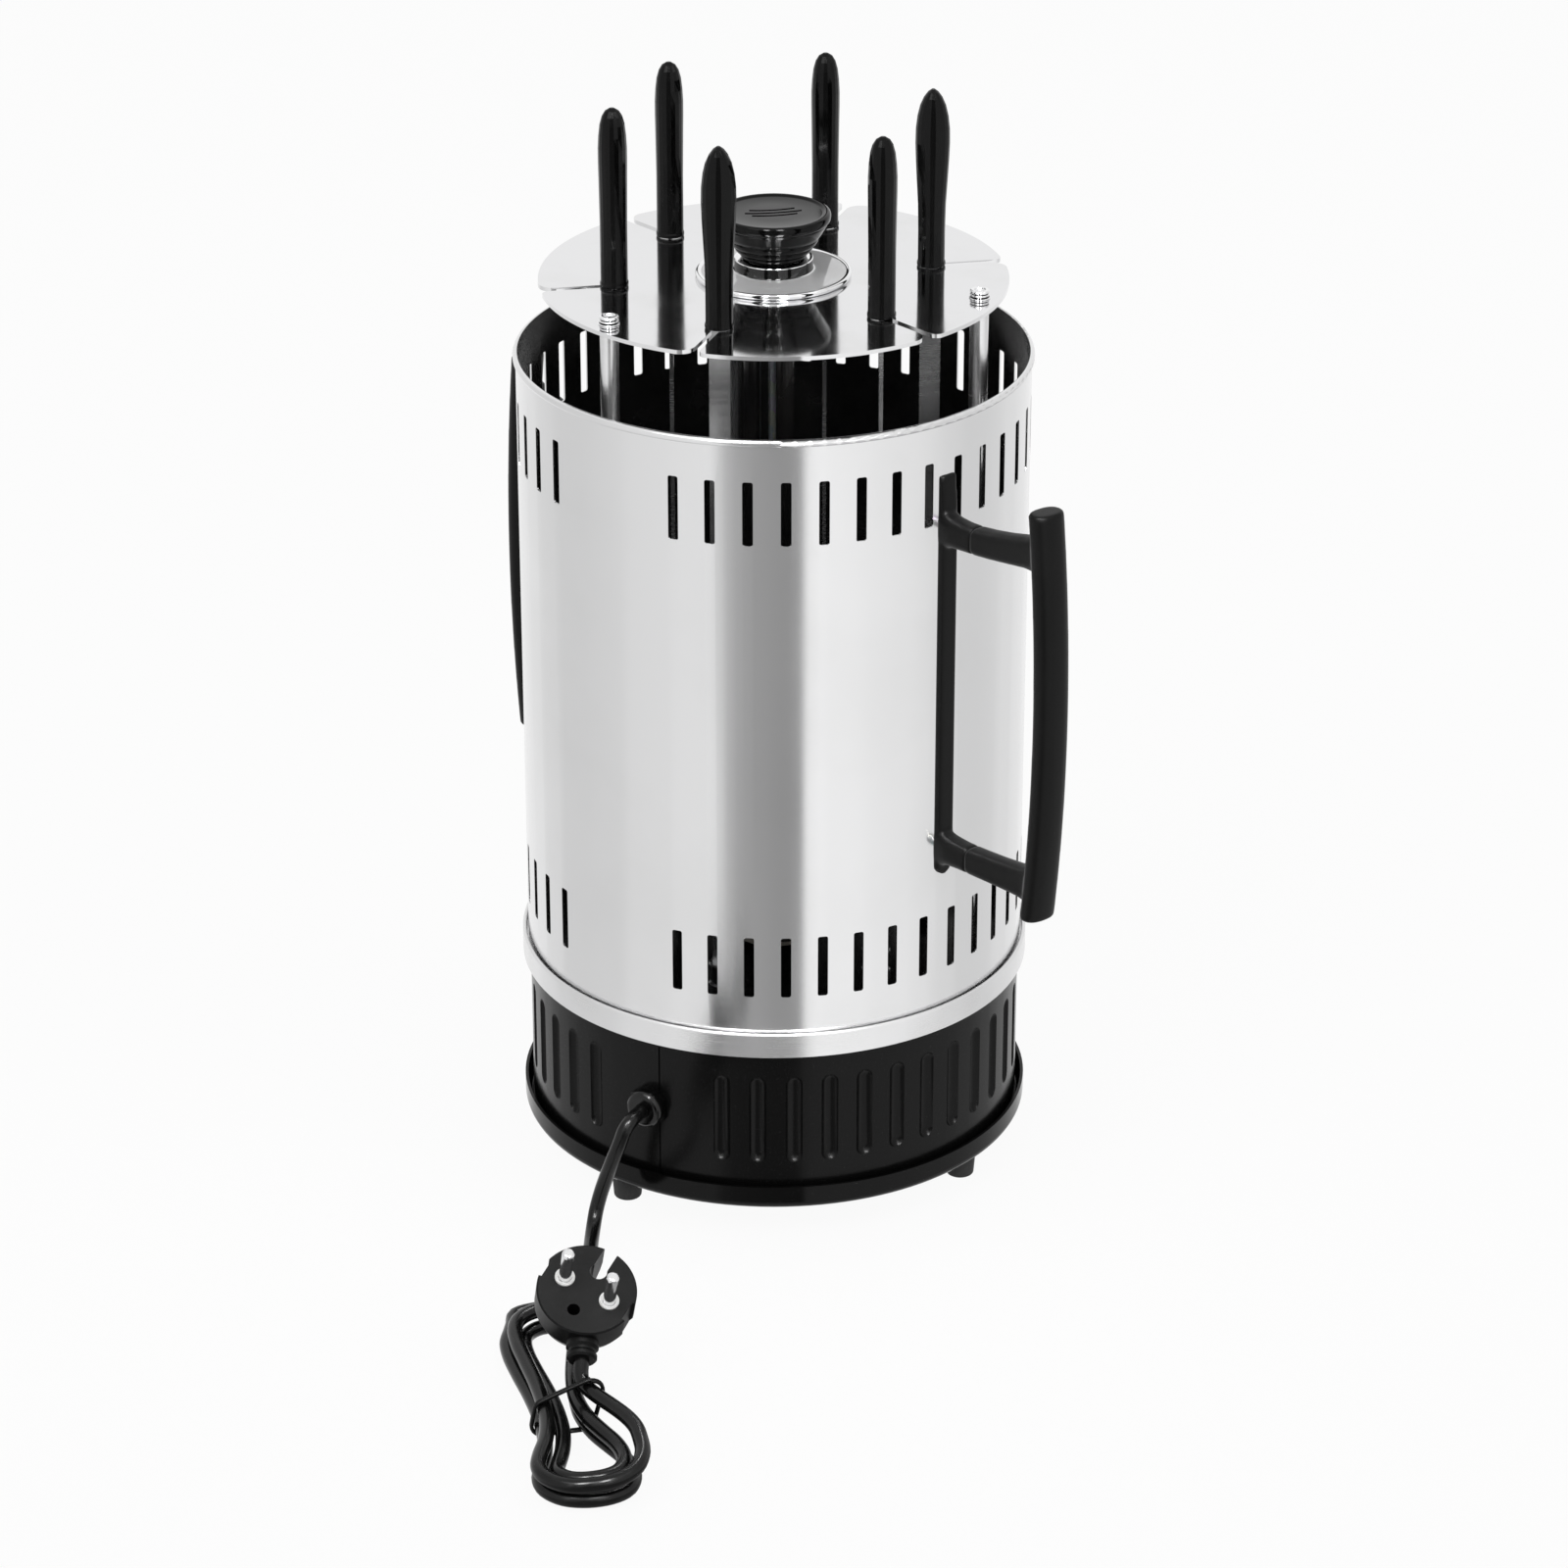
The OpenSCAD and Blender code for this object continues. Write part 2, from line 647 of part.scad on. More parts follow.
// Drip pan on the ring's ledge, with a neck round each spindle and round the heater
pan_r = casing_r - casing_t - 0.75 * casing_t;
pan_wall_in = 11.6;
pan_wall_r = casing_r - pan_wall_in;
neck_r = 5;
neck_t = 0.8;
centre_neck = 1;

module drip_pan() color("#202020") difference() {
    union() {
        rotate_extrude() polygon([[0, pan_z], [pan_wall_r + pan_t, pan_z],
            [pan_wall_r + pan_t, ledge_top], [pan_r, ledge_top], [pan_r, ledge_top + pan_t],
            [pan_wall_r, ledge_top + pan_t], [pan_wall_r, pan_z + pan_t], [0, pan_z + pan_t]]);
        ring_of(skewer_n, skewer_az, skewer_at, pan_z) cylinder(r = neck_r + neck_t, h = pan_t + pan_neck_h);
        translate([0, 0, pan_z]) cylinder(r = holder_r + centre_neck + neck_t, h = pan_t + pan_neck_h);
    }
    ring_of(skewer_n, skewer_az, skewer_at, pan_z) bore(neck_r, pan_t + pan_neck_h);
    ring_of(3, post_az, post_at, pan_z) bore(post_r + fit_gap, pan_t);
    translate([0, 0, pan_z]) bore(holder_r + centre_neck, pan_t + pan_neck_h);
}

// Heater: three tubes between ceramic holders, clamped by the tie rod
seat_deep = 8;
top_holder_r = 13;
top_holder_h = 12;
tube_az = -58;

module holder(r, h, seat_z) difference() {
    cylinder(r = r, h = h);
    bore(rod_r + fit_gap, h);
    ring_of(3, tube_az, tube_at, seat_z) cylinder(r = tube_r + fit_gap, h = seat_deep + cut);
}

module heater_holders() color("#e8e2d4") {
    translate([0, 0, bearing_top]) holder(holder_r, holder_h, holder_h - seat_deep);
    translate([0, 0, disc_z - top_holder_h]) holder(top_holder_r, top_holder_h, -cut);
}

tube_z = bearing_top + holder_h - seat_deep;
tube_top = disc_z - top_holder_h + seat_deep;

module heater_tubes() color("#5a5a5a") ring_of(3, tube_az, tube_at)
    translate([0, 0, tube_z]) cylinder(r = tube_r, h = tube_top - tube_z - rest_gap, $fn = 36);

rod_nut_r = 4;
rod_nut_h = 3;
rod_end = 5;
knob_rod_deep = 10;

module tie_rod() color("silver") {
    translate([0, 0, chassis_z - rod_nut_h - rod_end])
        cylinder(r = rod_r, h = knob_z + knob_rod_deep - chassis_z + rod_nut_h + rod_end);
    translate([0, 0, chassis_z - rod_nut_h]) cylinder(r = sleeve_spigot_r + bush_flange_t, h = rod_nut_h, $fn = 6);
}

// Posts that carry the disc, tapped at both ends
module posts() color("#b8b8b8") ring_of(3, post_az, post_at, bearing_top) difference() {
    cylinder(r = post_r, h = post_h);
    translate([0, 0, -cut]) cylinder(r = foot_bolt_r, h = hole_h + cut);
    translate([0, 0, post_h - hole_h]) cylinder(r = foot_bolt_r, h = hole_h + cut);
}

// Washer, nut and screw end on each post
washer_r = 4.1;
washer_t = 0.7;
post_nut_r = 3.75;
post_nut_h = 3.4;
nut_groove = 0.35;
post_stud_l = 8;

module post_nuts() color("silver") ring_of(3, post_az, post_at, disc_top) {
    cylinder(r = washer_r, h = washer_t);
    difference() {
        translate([0, 0, washer_t]) rotate_extrude() polygon(concat(
            [[0, 0], [post_nut_r, 0], [post_nut_r, post_nut_h * 0.3],
                [post_nut_r - nut_groove, post_nut_h * 0.35], [post_nut_r - nut_groove, post_nut_h * 0.45],
                [post_nut_r, post_nut_h / 2]],
            arc(post_nut_r - edge_r, post_nut_h - edge_r, edge_r, 0, 90, 3), [[0, post_nut_h]]));
        translate([0, 0, washer_t + post_nut_h - edge_r]) cylinder(r = post_nut_r / 2, h = cut + edge_r, $fn = 6);
    }
    translate([0, 0, -disc_t - post_stud_l]) cylinder(r = stud_r, h = disc_t + post_stud_l + washer_t);
}

// Top disc: six slits run from the rim to the skewer holes, with rounded corners
corner_cw = 6;
corner_ccw = 3;

module slit_corner(r, side) {
    reach = sqrt(pow(disc_r - r, 2) - pow(slit_w / 2 + r, 2));
    difference() {
        translate([reach, side > 0 ? slit_w / 2 : -slit_w / 2 - r])
            square([disc_r - reach + cut, r]);
        translate([reach, side * (slit_w / 2 + r)]) circle(r = r);
    }
}

module top_disc() color("silver") translate([0, 0, disc_z]) linear_extrude(disc_t) difference() {
    circle(r = disc_r, $fn = 144);
    circle(r = rod_r + fit_gap);
    for (i = [0 : 2]) rotate(post_az + i * 120) translate([post_at, 0]) circle(r = foot_bolt_r + fit_gap);
    for (i = [0 : skewer_n - 1]) rotate(skewer_az + i * 360 / skewer_n) {
        translate([skewer_at, 0]) circle(r = skewer_hole_r);
        translate([skewer_at, -slit_w / 2]) square([disc_r - skewer_at + cut, slit_w]);
        slit_corner(corner_ccw, 1);
        slit_corner(corner_cw, -1);
    }
}

// Chrome dish under the knob: brim, rounded shoulder, flat and boss
dish_brim_t = 0.8;
dish_step = 2;
dish_flat_r = 24.5;
dish_shoulder = 3;
boss_r = 15.2;

module knob_dish() color("silver") difference() {
    translate([0, 0, disc_top]) rotate_extrude() polygon(concat([[0, 0]],
        arc(dish_r - dish_brim_t / 2, dish_brim_t / 2, dish_brim_t / 2, -90, 90, 6),
        [for (a = [0 : 18 : 90]) [dish_flat_r + dish_shoulder * cos(a),
            dish_brim_t + (dish_step - dish_brim_t) * sin(a)]],
        [[boss_r, dish_step]], arc(boss_r - edge_r, dish_h - edge_r, edge_r, 0, 90, 4), [[0, dish_h]]));
    translate([0, 0, disc_top]) bore(rod_r + fit_gap, dish_h);
}

// Knob: shares of its radius and height, from its foot to the floor of its top
knob_shares = [[0.335, 0], [0.37, 0.05], [0.44, 0.12], [0.555, 0.18], [0.605, 0.21], [0.65, 0.245], [0.675, 0.37],
    [0.71, 0.385], [0.77, 0.42], [0.845, 0.47], [0.9, 0.56], [0.945, 0.67], [0.965, 0.76],
    [0.97, 0.78], [0.985, 0.8], [1, 0.9], [0.998, 0.95], [0.98, 0.98], [0.94, 1], [0.905, 0.995],
    [0.885, 0.975], [0.875, 0.95], [0, 0.95]];
knob_z = disc_top + dish_h;
knob_floor_share = 0.95;
rib_n = 4;
rib_share = 0.86;
rib_w = 1;
rib_gap = 5;
rib_h = 0.5;
rib_curve_r = 60;
rib_turn = 12;

module knob() color("#121212") translate([0, 0, knob_z]) difference() {
    union() {
        rotate_extrude() polygon(concat([[0, 0]], [for (s = knob_shares) [s[0] * knob_r, s[1] * knob_h]]));
        translate([0, 0, knob_h * knob_floor_share - edge_r]) linear_extrude(edge_r + rib_h) rotate(rib_turn)
            intersection() {
                circle(r = knob_r * rib_share);
                for (k = [0 : rib_n - 1]) translate([0, rib_gap * (k - (rib_n - 1) / 2) - rib_curve_r])
                    difference() {
                        circle(r = rib_curve_r + rib_w / 2, $fn = 240);
                        circle(r = rib_curve_r - rib_w / 2, $fn = 240);
                    }
            }
    }
    translate([0, 0, -cut]) cylinder(r = rod_r + fit_gap, h = knob_rod_deep + rest_gap + cut);
}

// Cable gland: hexagon and inner lock nut on one threaded neck, then a domed nut
gland_hex_r = 8.6;
gland_hex_t = 2.2;
gland_nut_r = 7.8;
gland_nut_l = 4.3;
gland_lock_t = 4;
gland_dome = 2.4;
gland_face = housing_r + gland_hex_t + gland_nut_l;
gland_back = housing_r - sqrt(pow(housing_r - housing_wall, 2) - pow(gland_hex_r, 2)) + fit_gap;

module at_gland() at(gland_az, housing_r, gland_z) rotate([0, 90, 0]) children();

module gland_body() color("#181818") at_gland() difference() {
    union() {
        cylinder(r = gland_hex_r, h = gland_hex_t, $fn = 6);
        translate([0, 0, -gland_back - gland_lock_t]) cylinder(r = gland_r, h = gland_back + gland_lock_t + gland_hex_t);
        translate([0, 0, -gland_back - gland_lock_t]) cylinder(r = gland_hex_r, h = gland_lock_t, $fn = 6);
    }
    translate([0, 0, -2 * housing_wall - gland_lock_t]) cylinder(r = cord_r + run_gap, h = 3 * housing_wall + gland_lock_t + gland_hex_t);
}

module gland_nut() color("#181818") at_gland() difference() {
    translate([0, 0, gland_hex_t]) rotate_extrude() polygon(concat([[0, 0], [gland_nut_r, 0]],
        arc(gland_nut_r - gland_dome, gland_nut_l - gland_dome, gland_dome, 0, 90, 5), [[0, gland_nut_l]]));
    translate([0, 0, gland_hex_t]) bore(cord_r + run_gap, gland_nut_l);
}

// Casing: rolled sheet with a bead at the rim and two rows of slots
casing_top = casing_z + casing_h;
bead_z = casing_top - bead_r;
slot_deep = 4;
handle_screw_r = 1.9;
arm_mid = casing_z + grip_mid;
function arm_z(drop, s) = arm_mid - drop - arm_drop + s * arm_gap / 2;

module slot_cut() rotate([90, 0, 90]) linear_extrude(slot_deep, center = true) {
    translate([-slot_w / 2, slot_corner]) square([slot_w, slot_h - 2 * slot_corner]);
    translate([-slot_w / 2 + slot_corner, 0]) square([slot_w - 2 * slot_corner, slot_h]);
    for (x = [-1, 1]) for (y = [slot_corner, slot_h - slot_corner])
        translate([x * (slot_w / 2 - slot_corner), y]) circle(r = slot_corner, $fn = 16);
}

module casing() color("#dcdcdc") difference() {
    union() {
        translate([0, 0, casing_z]) cylinder(r = casing_r, h = casing_h - bead_r, $fn = 144);
        rotate_extrude($fn = 144) translate([casing_r - bead_r + casing_t / 2 + ring_gutter, bead_z]) circle(r = bead_r, $fn = 20);
    }
    translate([0, 0, casing_z - cut]) cylinder(r = casing_r - casing_t, h = casing_h + 2 * cut, $fn = 144);
    for (a = row(slot_az)) {
        at(a, casing_r, casing_top - slot_high) slot_cut();
        if (off_az(a, far_az) > strip_clear) at(a, casing_r, casing_z + slot_low) slot_cut();
    }
    for (s = [-1, 1]) {
        at(near_az, casing_r, arm_z(0, s)) rotate([0, 90, 0])
            cylinder(r = handle_screw_r + fit_gap, h = slot_deep, center = true, $fn = 24);
        at(far_az, casing_r, arm_z(far_drop, s)) rotate([0, 90, 0])
            cylinder(r = handle_screw_r + fit_gap, h = slot_deep, center = true, $fn = 24);
    }
}

// Handle mount: a strip on the casing with two short arms
strip_at = casing_r + fit_gap;
strip_round = 1;
seam_out = 19;
seam_at = casing_r + seam_out;
arm_sides = 16;
seam_edge = 0.5;

// An arm on its way out: each entry gives a place, a height and a width
module arm(drop, s, places) skin([for (p = places)
    let (z = arm_z(drop, s) + (arm_lift + s * arm_spread) * (p[0] - strip_at) / (grip_at - strip_at))
    [for (k = [0 : arm_sides - 1]) let (t = (k + 0.5) * 360 / arm_sides)
        [p[0], p[2] / 2 * cos(t), z + p[1] / 2 * sin(t)]]]);

// The strip's rings: height over its foot and half width; round foot, squarish head
strip_rings = concat(
    [for (a = [10 : 16 : 90]) [strip_w / 2 * (1 - cos(a)), strip_w / 2 * sin(a)]],
    [for (a = [90 : -30 : 0]) [strip_h - strip_round * (1 - cos(a)), strip_w / 2 - strip_round * (1 - sin(a))]]);

module strip(foot_z) skin([for (s = strip_rings) let (r = min(strip_round, s[1] / 2)) concat(
    [[strip_at, -s[1], foot_z + s[0]]],
    [for (p = arc(strip_at + strip_t - r, r - s[1], r, -90, 0, 4)) [p[0], p[1], foot_z + s[0]]],
    [for (p = arc(strip_at + strip_t - r, s[1] - r, r, 0, 90, 4)) [p[0], p[1], foot_z + s[0]]],
    [[strip_at, s[1], foot_z + s[0]]])]);

module handle_mount(az, drop) color("#181818") at(az) difference() {
    union() {
        strip(arm_mid - drop - strip_h / 2);
        for (s = [-1, 1]) arm(drop, s, [
            [strip_at + strip_t * 0.4, arm_h * 1.5, arm_w * 0.72],
            [strip_at + strip_t, arm_h * 1.3, arm_w * 0.85],
            [strip_at + strip_t * 1.9, arm_h * 1.08, arm_w * 0.97],
            [strip_at + strip_t * 3, arm_h, arm_w],
            [seam_at - seam_edge, arm_h, arm_w],
            [seam_at, arm_h - seam_edge, arm_w - seam_edge]]);
    }
    for (s = [-1, 1]) translate([casing_r, 0, arm_z(drop, s)]) rotate([0, 90, 0])
        cylinder(r = handle_screw_r + fit_gap, h = mount_screw_l + fit_gap - casing_t, $fn = 16);
}

// Handle grip: a bowed flat bar with two arms that meet the mount at a seam
grip_round = 3.4;
grip_edge = 0.9;
grip_up = 1.05;
grip_steps = 12;
grip_rings = concat(
    [for (a = [0 : 30 : 90]) [grip_edge * (1 - cos(a)), grip_edge * (1 - sin(a))]],
    [for (i = [1 : grip_steps - 1]) [grip_h * i / grip_steps, 0]],
    [for (a = [90 : -30 : 0]) [grip_h - grip_edge * (1 - cos(a)), grip_edge * (1 - sin(a))]]);

module handle_grip(az, drop) color("#181818") at(az) union() {
    skin([for (g = grip_rings) let (x = grip_at + grip_bow * (1 - pow(2 * g[0] / grip_h - 1, 2)),
        a = grip_t / 2 - g[1], b = grip_w / 2 - g[1], r = grip_round - g[1],
        z = arm_mid - drop + grip_up - grip_h / 2 + g[0])
        [for (c = [[1, -1, -90], [1, 1, 0], [-1, 1, 90], [-1, -1, 180]])
            for (p = arc(x + c[0] * (a - r), c[1] * (b - r), r, c[2], c[2] + 90, 5)) [p[0], p[1], z]]]);
    for (s = [-1, 1]) arm(drop, s, [
        [seam_at, arm_h - seam_edge, arm_w - seam_edge],
        [seam_at + seam_edge, arm_h, arm_w],
        [grip_at - grip_t * 1.2, arm_h, arm_w],
        [grip_at - grip_t * 0.55, arm_h * 1.12, arm_w * 1.05],
        [grip_at, arm_h * 1.3, arm_w * 1.15]]);
}

// Screws from inside the casing into the mounts
mount_head_r = 3.6;
mount_head_t = 1.8;
mount_screw_l = 9;

module handle_screws() color("silver") for (h = [[near_az, 0], [far_az, far_drop]]) for (s = [-1, 1])
    at(h[0], casing_r - casing_t, arm_z(h[1], s)) rotate([0, 90, 0]) {
        cylinder(r = handle_screw_r, h = mount_screw_l, $fn = 24);
        translate([0, 0, -mount_head_t - rest_gap]) cylinder(r1 = mount_head_r * 0.7, r2 = mount_head_r, h = mount_head_t, $fn = 24);
        translate([0, 0, -rest_gap - edge_r]) cylinder(r = handle_screw_r, h = rest_gap + 2 * edge_r, $fn = 24);
    }

// Cord: placed from the gland's seat on the housing. The free lead, by hand, runs to the hank
gland_dir = [cos(gland_az), sin(gland_az), 0];
gland_seat = housing_r * gland_dir;
gland_point = [gland_face * cos(gland_az), gland_face * sin(gland_az), gland_z];
lead_points = [for (p = [[-7.1, -12.5, 50.4], [-9.4, -15.2, 48.2], [-11.8, -16, 41.8], [-14.6, -15.2, 34],
    [-17.1, -13.2, 26], [-19.6, -11.8, 17.5], [-21.6, -12.6, 9.8], [-22.6, -17.6, 5.2],
    [-23.1, -24.6, 3.4], [-23.3, -33.6, 3.2], [-23.3, -45.6, 3.2], [-23.9, -56.6, 3.2],
    [-26.1, -66.1, 3.6], [-30.9, -74.6, 4.2]]) gland_seat + p];

// Hank: loops wound inwards on the lower layer and out again on the upper one
hank_off = [-27.6, -160.6, 0];
hank_at = gland_seat + hank_off;
hank_az = 12;
hank_bow = 1250;
waist_step = 6.7;
// The outermost loop, every fifteenth of a turn's degrees from its far tip
hank_loop = [[0, 75], [-8, 73], [-14, 67], [-16, 58], [-15, 44], [-12, 25], [-10.5, 6],
    [-11.5, -11], [-15, -24], [-19, -34], [-19, -44], [-12, -53], [0, -56], [12, -53], [19, -44],
    [20.5, -33], [18, -22], [13.5, -11], [10.5, 3], [11, 19], [13.5, 37], [15.5, 52], [14.5, 64], [9, 72]];
layer_low = 4.6;
layer_step = 6.5;
hank_from = 30;
hank_to = 945;
loop_rings = 30;
over_climb = 5.5;
over_run = 80;
hank_mid = (hank_from + hank_to) / 2;

function hank_turn(a) = (a < hank_mid ? a - hank_from : hank_to - a) / 360;
function hank_layer(a) = let (x = (a - hank_mid + 90) / 180, y = max(0, min(1, x))) y * y * (3 - 2 * y);
function loop_spot(k) = hank_loop[(k + len(hank_loop)) % len(hank_loop)];
function loop_line(a) = let (t = a * len(hank_loop) / 360, k = floor(t), f = t - k,
    p = loop_spot(k - 1), q = loop_spot(k), r = loop_spot(k + 1), w = loop_spot(k + 2),
    m = q + (r - p) * f / 2 + (2 * p - 5 * q + 4 * r - w) * f * f / 2 + (3 * q - p - 3 * r + w) * f * f * f / 2)
    [m[0] + m[1] * m[1] / hank_bow, m[1]];
function hank_flat(a) = let (d = unit(loop_line(a + 2) - loop_line(a - 2)),
    m = loop_line(a) - waist_step * hank_turn(a) * [d[1], -d[0]])
    [m[0], m[1], layer_low + layer_step * hank_layer(a) + over_climb * pow(max(0, (a - hank_to) / over_run + 1), 2)];
function to_hank(p) = hank_at + [p[0] * cos(hank_az) - p[1] * sin(hank_az),
    p[0] * sin(hank_az) + p[1] * cos(hank_az), p[2]];
function bezier(a, b, c, d, t) = pow(1 - t, 3) * a + 3 * pow(1 - t, 2) * t * b
    + 3 * (1 - t) * t * t * c + pow(t, 3) * d;

// Plug: where its face lies and how it leans
plug_off = [-20.7, -128, 42.3];
plug_at = gland_seat + plug_off;
plug_lean = 31.4;
plug_yaw = 12;
pin_turn = -38.5;
neck_turn = -12;
neck_l = 25.5;
neck_deep = 8.5;
function plug_vec(x, y, z) = let (
    v = [x, y * cos(plug_lean) - z * sin(plug_lean), y * sin(plug_lean) + z * cos(plug_lean)])
    [v[0] * cos(plug_yaw) - v[1] * sin(plug_yaw), v[0] * sin(plug_yaw) + v[1] * cos(plug_yaw), v[2]];
neck_point = plug_at + plug_vec(neck_l * sin(neck_turn), -neck_l * cos(neck_turn), -neck_deep);
neck_dir = plug_vec(sin(neck_turn), -cos(neck_turn), 0);

hank_steps = round((hank_to - hank_from) * loop_rings / 360);
hank_loops = [for (i = [0 : hank_steps]) to_hank(hank_flat(hank_from + (hank_to - hank_from) * i / hank_steps))];
hank_start_dir = unit(hank_loops[1] - hank_loops[0]);
hank_start = hank_loops[0] - 2 * cord_r * hank_start_dir;
hank_end_dir = unit(hank_loops[hank_steps] - hank_loops[hank_steps - 1]);
neck_lead = neck_point + 2 * cord_r * neck_dir;
over_steps = 10;
over_pull = 14;
over_back = 8;
hank_over = [for (i = [1 : over_steps]) bezier(hank_loops[hank_steps],
    hank_loops[hank_steps] + over_pull * hank_end_dir, neck_lead + over_back * neck_dir, neck_lead,
    i / over_steps)];
hank_path = concat([hank_start], hank_loops, hank_over, [neck_point]);
lead_path = concat([gland_point, gland_point + 1.3 * cord_r * gland_dir], lead_points,
    [hank_start - 2.5 * cord_r * hank_start_dir, hank_start]);

// Least gap between stretches of the hank that aren't neighbours along it
near_rings = 5;
hank_gap = min([for (i = [0 : len(hank_path) - 1 - near_rings]) for (j = [i + near_rings : len(hank_path) - 1])
    norm(hank_path[i] - hank_path[j])]) - 2 * cord_r;
echo(hank_gap = hank_gap);

module cord_lead() color("#141414") sweep(lead_path, cord_r, 10);
module cord_hank() color("#141414") sweep(hank_path, cord_r, 6);

// Twist tie round the waist of the hank
tie_t = 1.1;
tie_w = 2;
tie_fit = 0.45;
over_at = 9.3;
over_z = 17.3;
over_fit = 0.5;
tie_turns = [95, 268, 455, 628, 815];

module tie_outline(r) hull() {
    for (a = tie_turns) let (p = hank_flat(a)) translate([p[0], p[2]]) circle(r = r, $fn = 24);
    translate([over_at, over_z]) circle(r = r + over_fit, $fn = 24);
}

module cord_tie() color("black") translate(hank_at) rotate([0, 0, hank_az]) rotate([90, 0, 0])
    linear_extrude(tie_w, center = true) difference() {
        tie_outline(cord_r + tie_fit + tie_t);
        tie_outline(cord_r + tie_fit);
    }

// Plug body: round face, earth notch and hole, and a ribbed neck for the cord
plug_edge = 0.6;
plug_back_share = 0.8;
notch_w = 5.5;
notch_r = 3.3;
notch_in = 10;
guide_w = 8;
guide_deep = 1.6;
earth_r = 2.4;
earth_at = 10;
earth_deep = 12;
neck_shares = [[0, 0], [1, 0], [1, 0.35], [0.78, 0.62], [0.78, 0.68], [0.88, 0.72], [0.88, 0.8],
    [0.74, 0.84], [0.74, 0.88], [0.82, 0.92], [0.82, 0.97], [0.72, 1], [0, 1]];
plug_neck_r = 7;

module at_plug() translate(plug_at) rotate([0, 0, plug_yaw]) rotate([plug_lean, 0, 0]) children();

module plug_body() color("#171717") at_plug() difference() {
    union() {
        rotate_extrude() polygon([[0, 0], [plug_r - plug_edge, 0], [plug_r, -plug_edge],
            [plug_r, -plug_t * 0.6], [plug_r * 0.93, -plug_t * 0.8], [plug_r * plug_back_share, -plug_t * 0.95],
            [plug_r * 0.6, -plug_t], [0, -plug_t]]);
        translate([0, 0, -neck_deep]) rotate([90, 0, neck_turn]) rotate_extrude()
            polygon([for (s = neck_shares) [s[0] * plug_neck_r, s[1] * neck_l]]);
    }
    rotate([0, 0, pin_turn + 90]) {
        translate([plug_r - notch_in, -notch_w / 2, -plug_t - cut]) cube([notch_in + cut, notch_w, plug_t + 2 * cut]);
        translate([plug_r - notch_in, 0, -plug_t - cut]) cylinder(r = notch_r, h = plug_t + 2 * cut);
        translate([-earth_at, 0, -earth_deep]) cylinder(r = earth_r, h = earth_deep + cut);
        for (s = [-1, 1]) translate([-guide_w / 2, s * plug_r - guide_deep, -plug_t - cut])
            cube([guide_w, 2 * guide_deep, plug_t + 2 * cut]);
    }
    rotate([0, 0, pin_turn]) for (s = [-1, 1]) translate([s * pin_at, 0, -pin_seat])
        cylinder(r = pin_r + fit_gap, h = pin_seat + cut);
}

pin_at = 9.5;
pin_r = 2.4;
pin_seat = 8;
pin_tip = 1.2;
collar_r = 3.8;
collar_t = 0.7;

module plug_pins() color("#d0d0d0") at_plug() rotate([0, 0, pin_turn]) for (s = [-1, 1])
    translate([s * pin_at, 0, 0]) rotate_extrude($fn = 32) polygon(concat([[0, -pin_seat], [pin_r, -pin_seat]],
        arc(pin_r - pin_tip, pin_h - pin_tip, pin_tip, 0, 90, 4), [[0, pin_h]]));

module plug_collars() color("#f2f2f2") at_plug() rotate([0, 0, pin_turn]) for (s = [-1, 1])
    translate([s * pin_at, 0, 0]) tube(collar_r, pin_r + fit_gap, collar_t);

base_tray();
base_housing();
base_ring();
feet();
base_screws();
pillars();
chassis_plate();
bearing_plate();
spindle_bushes();
centre_sleeve();
motor();
drip_pan();
heater_holders();
heater_tubes();
posts();
post_nuts();
top_disc();
tie_rod();
knob_dish();
knob();
gland_body();
gland_nut();
cord_lead();
cord_hank();
cord_tie();
plug_body();
plug_pins();
plug_collars();
casing();
handle_mount(near_az, 0);  // handle_mount_near
handle_grip(near_az, 0);  // handle_grip_near
handle_mount(far_az, far_drop);  // handle_mount_far
handle_grip(far_az, far_drop);  // handle_grip_far
handle_screws();
drive_gear();
motor_pinion();
spindle(0);  // spindle_1
spindle(1);  // spindle_2
spindle(2);  // spindle_3
spindle(3);  // spindle_4
spindle(4);  // spindle_5
spindle(5);  // spindle_6
skewer_gear(0);  // skewer_gear_1
skewer_gear(1);  // skewer_gear_2
skewer_gear(2);  // skewer_gear_3
skewer_gear(3);  // skewer_gear_4
skewer_gear(4);  // skewer_gear_5
skewer_gear(5);  // skewer_gear_6
skewer_blade(0);  // skewer_blade_1
skewer_blade(1);  // skewer_blade_2
skewer_blade(2);  // skewer_blade_3
skewer_blade(3);  // skewer_blade_4
skewer_blade(4);  // skewer_blade_5
skewer_blade(5);  // skewer_blade_6
skewer_handle(0);  // skewer_handle_1
skewer_handle(1);  // skewer_handle_2
skewer_handle(2);  // skewer_handle_3
skewer_handle(3);  // skewer_handle_4
skewer_handle(4);  // skewer_handle_5
skewer_handle(5);  // skewer_handle_6
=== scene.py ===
import json
import math

import bmesh
import bpy
from mathutils import Matrix, Vector


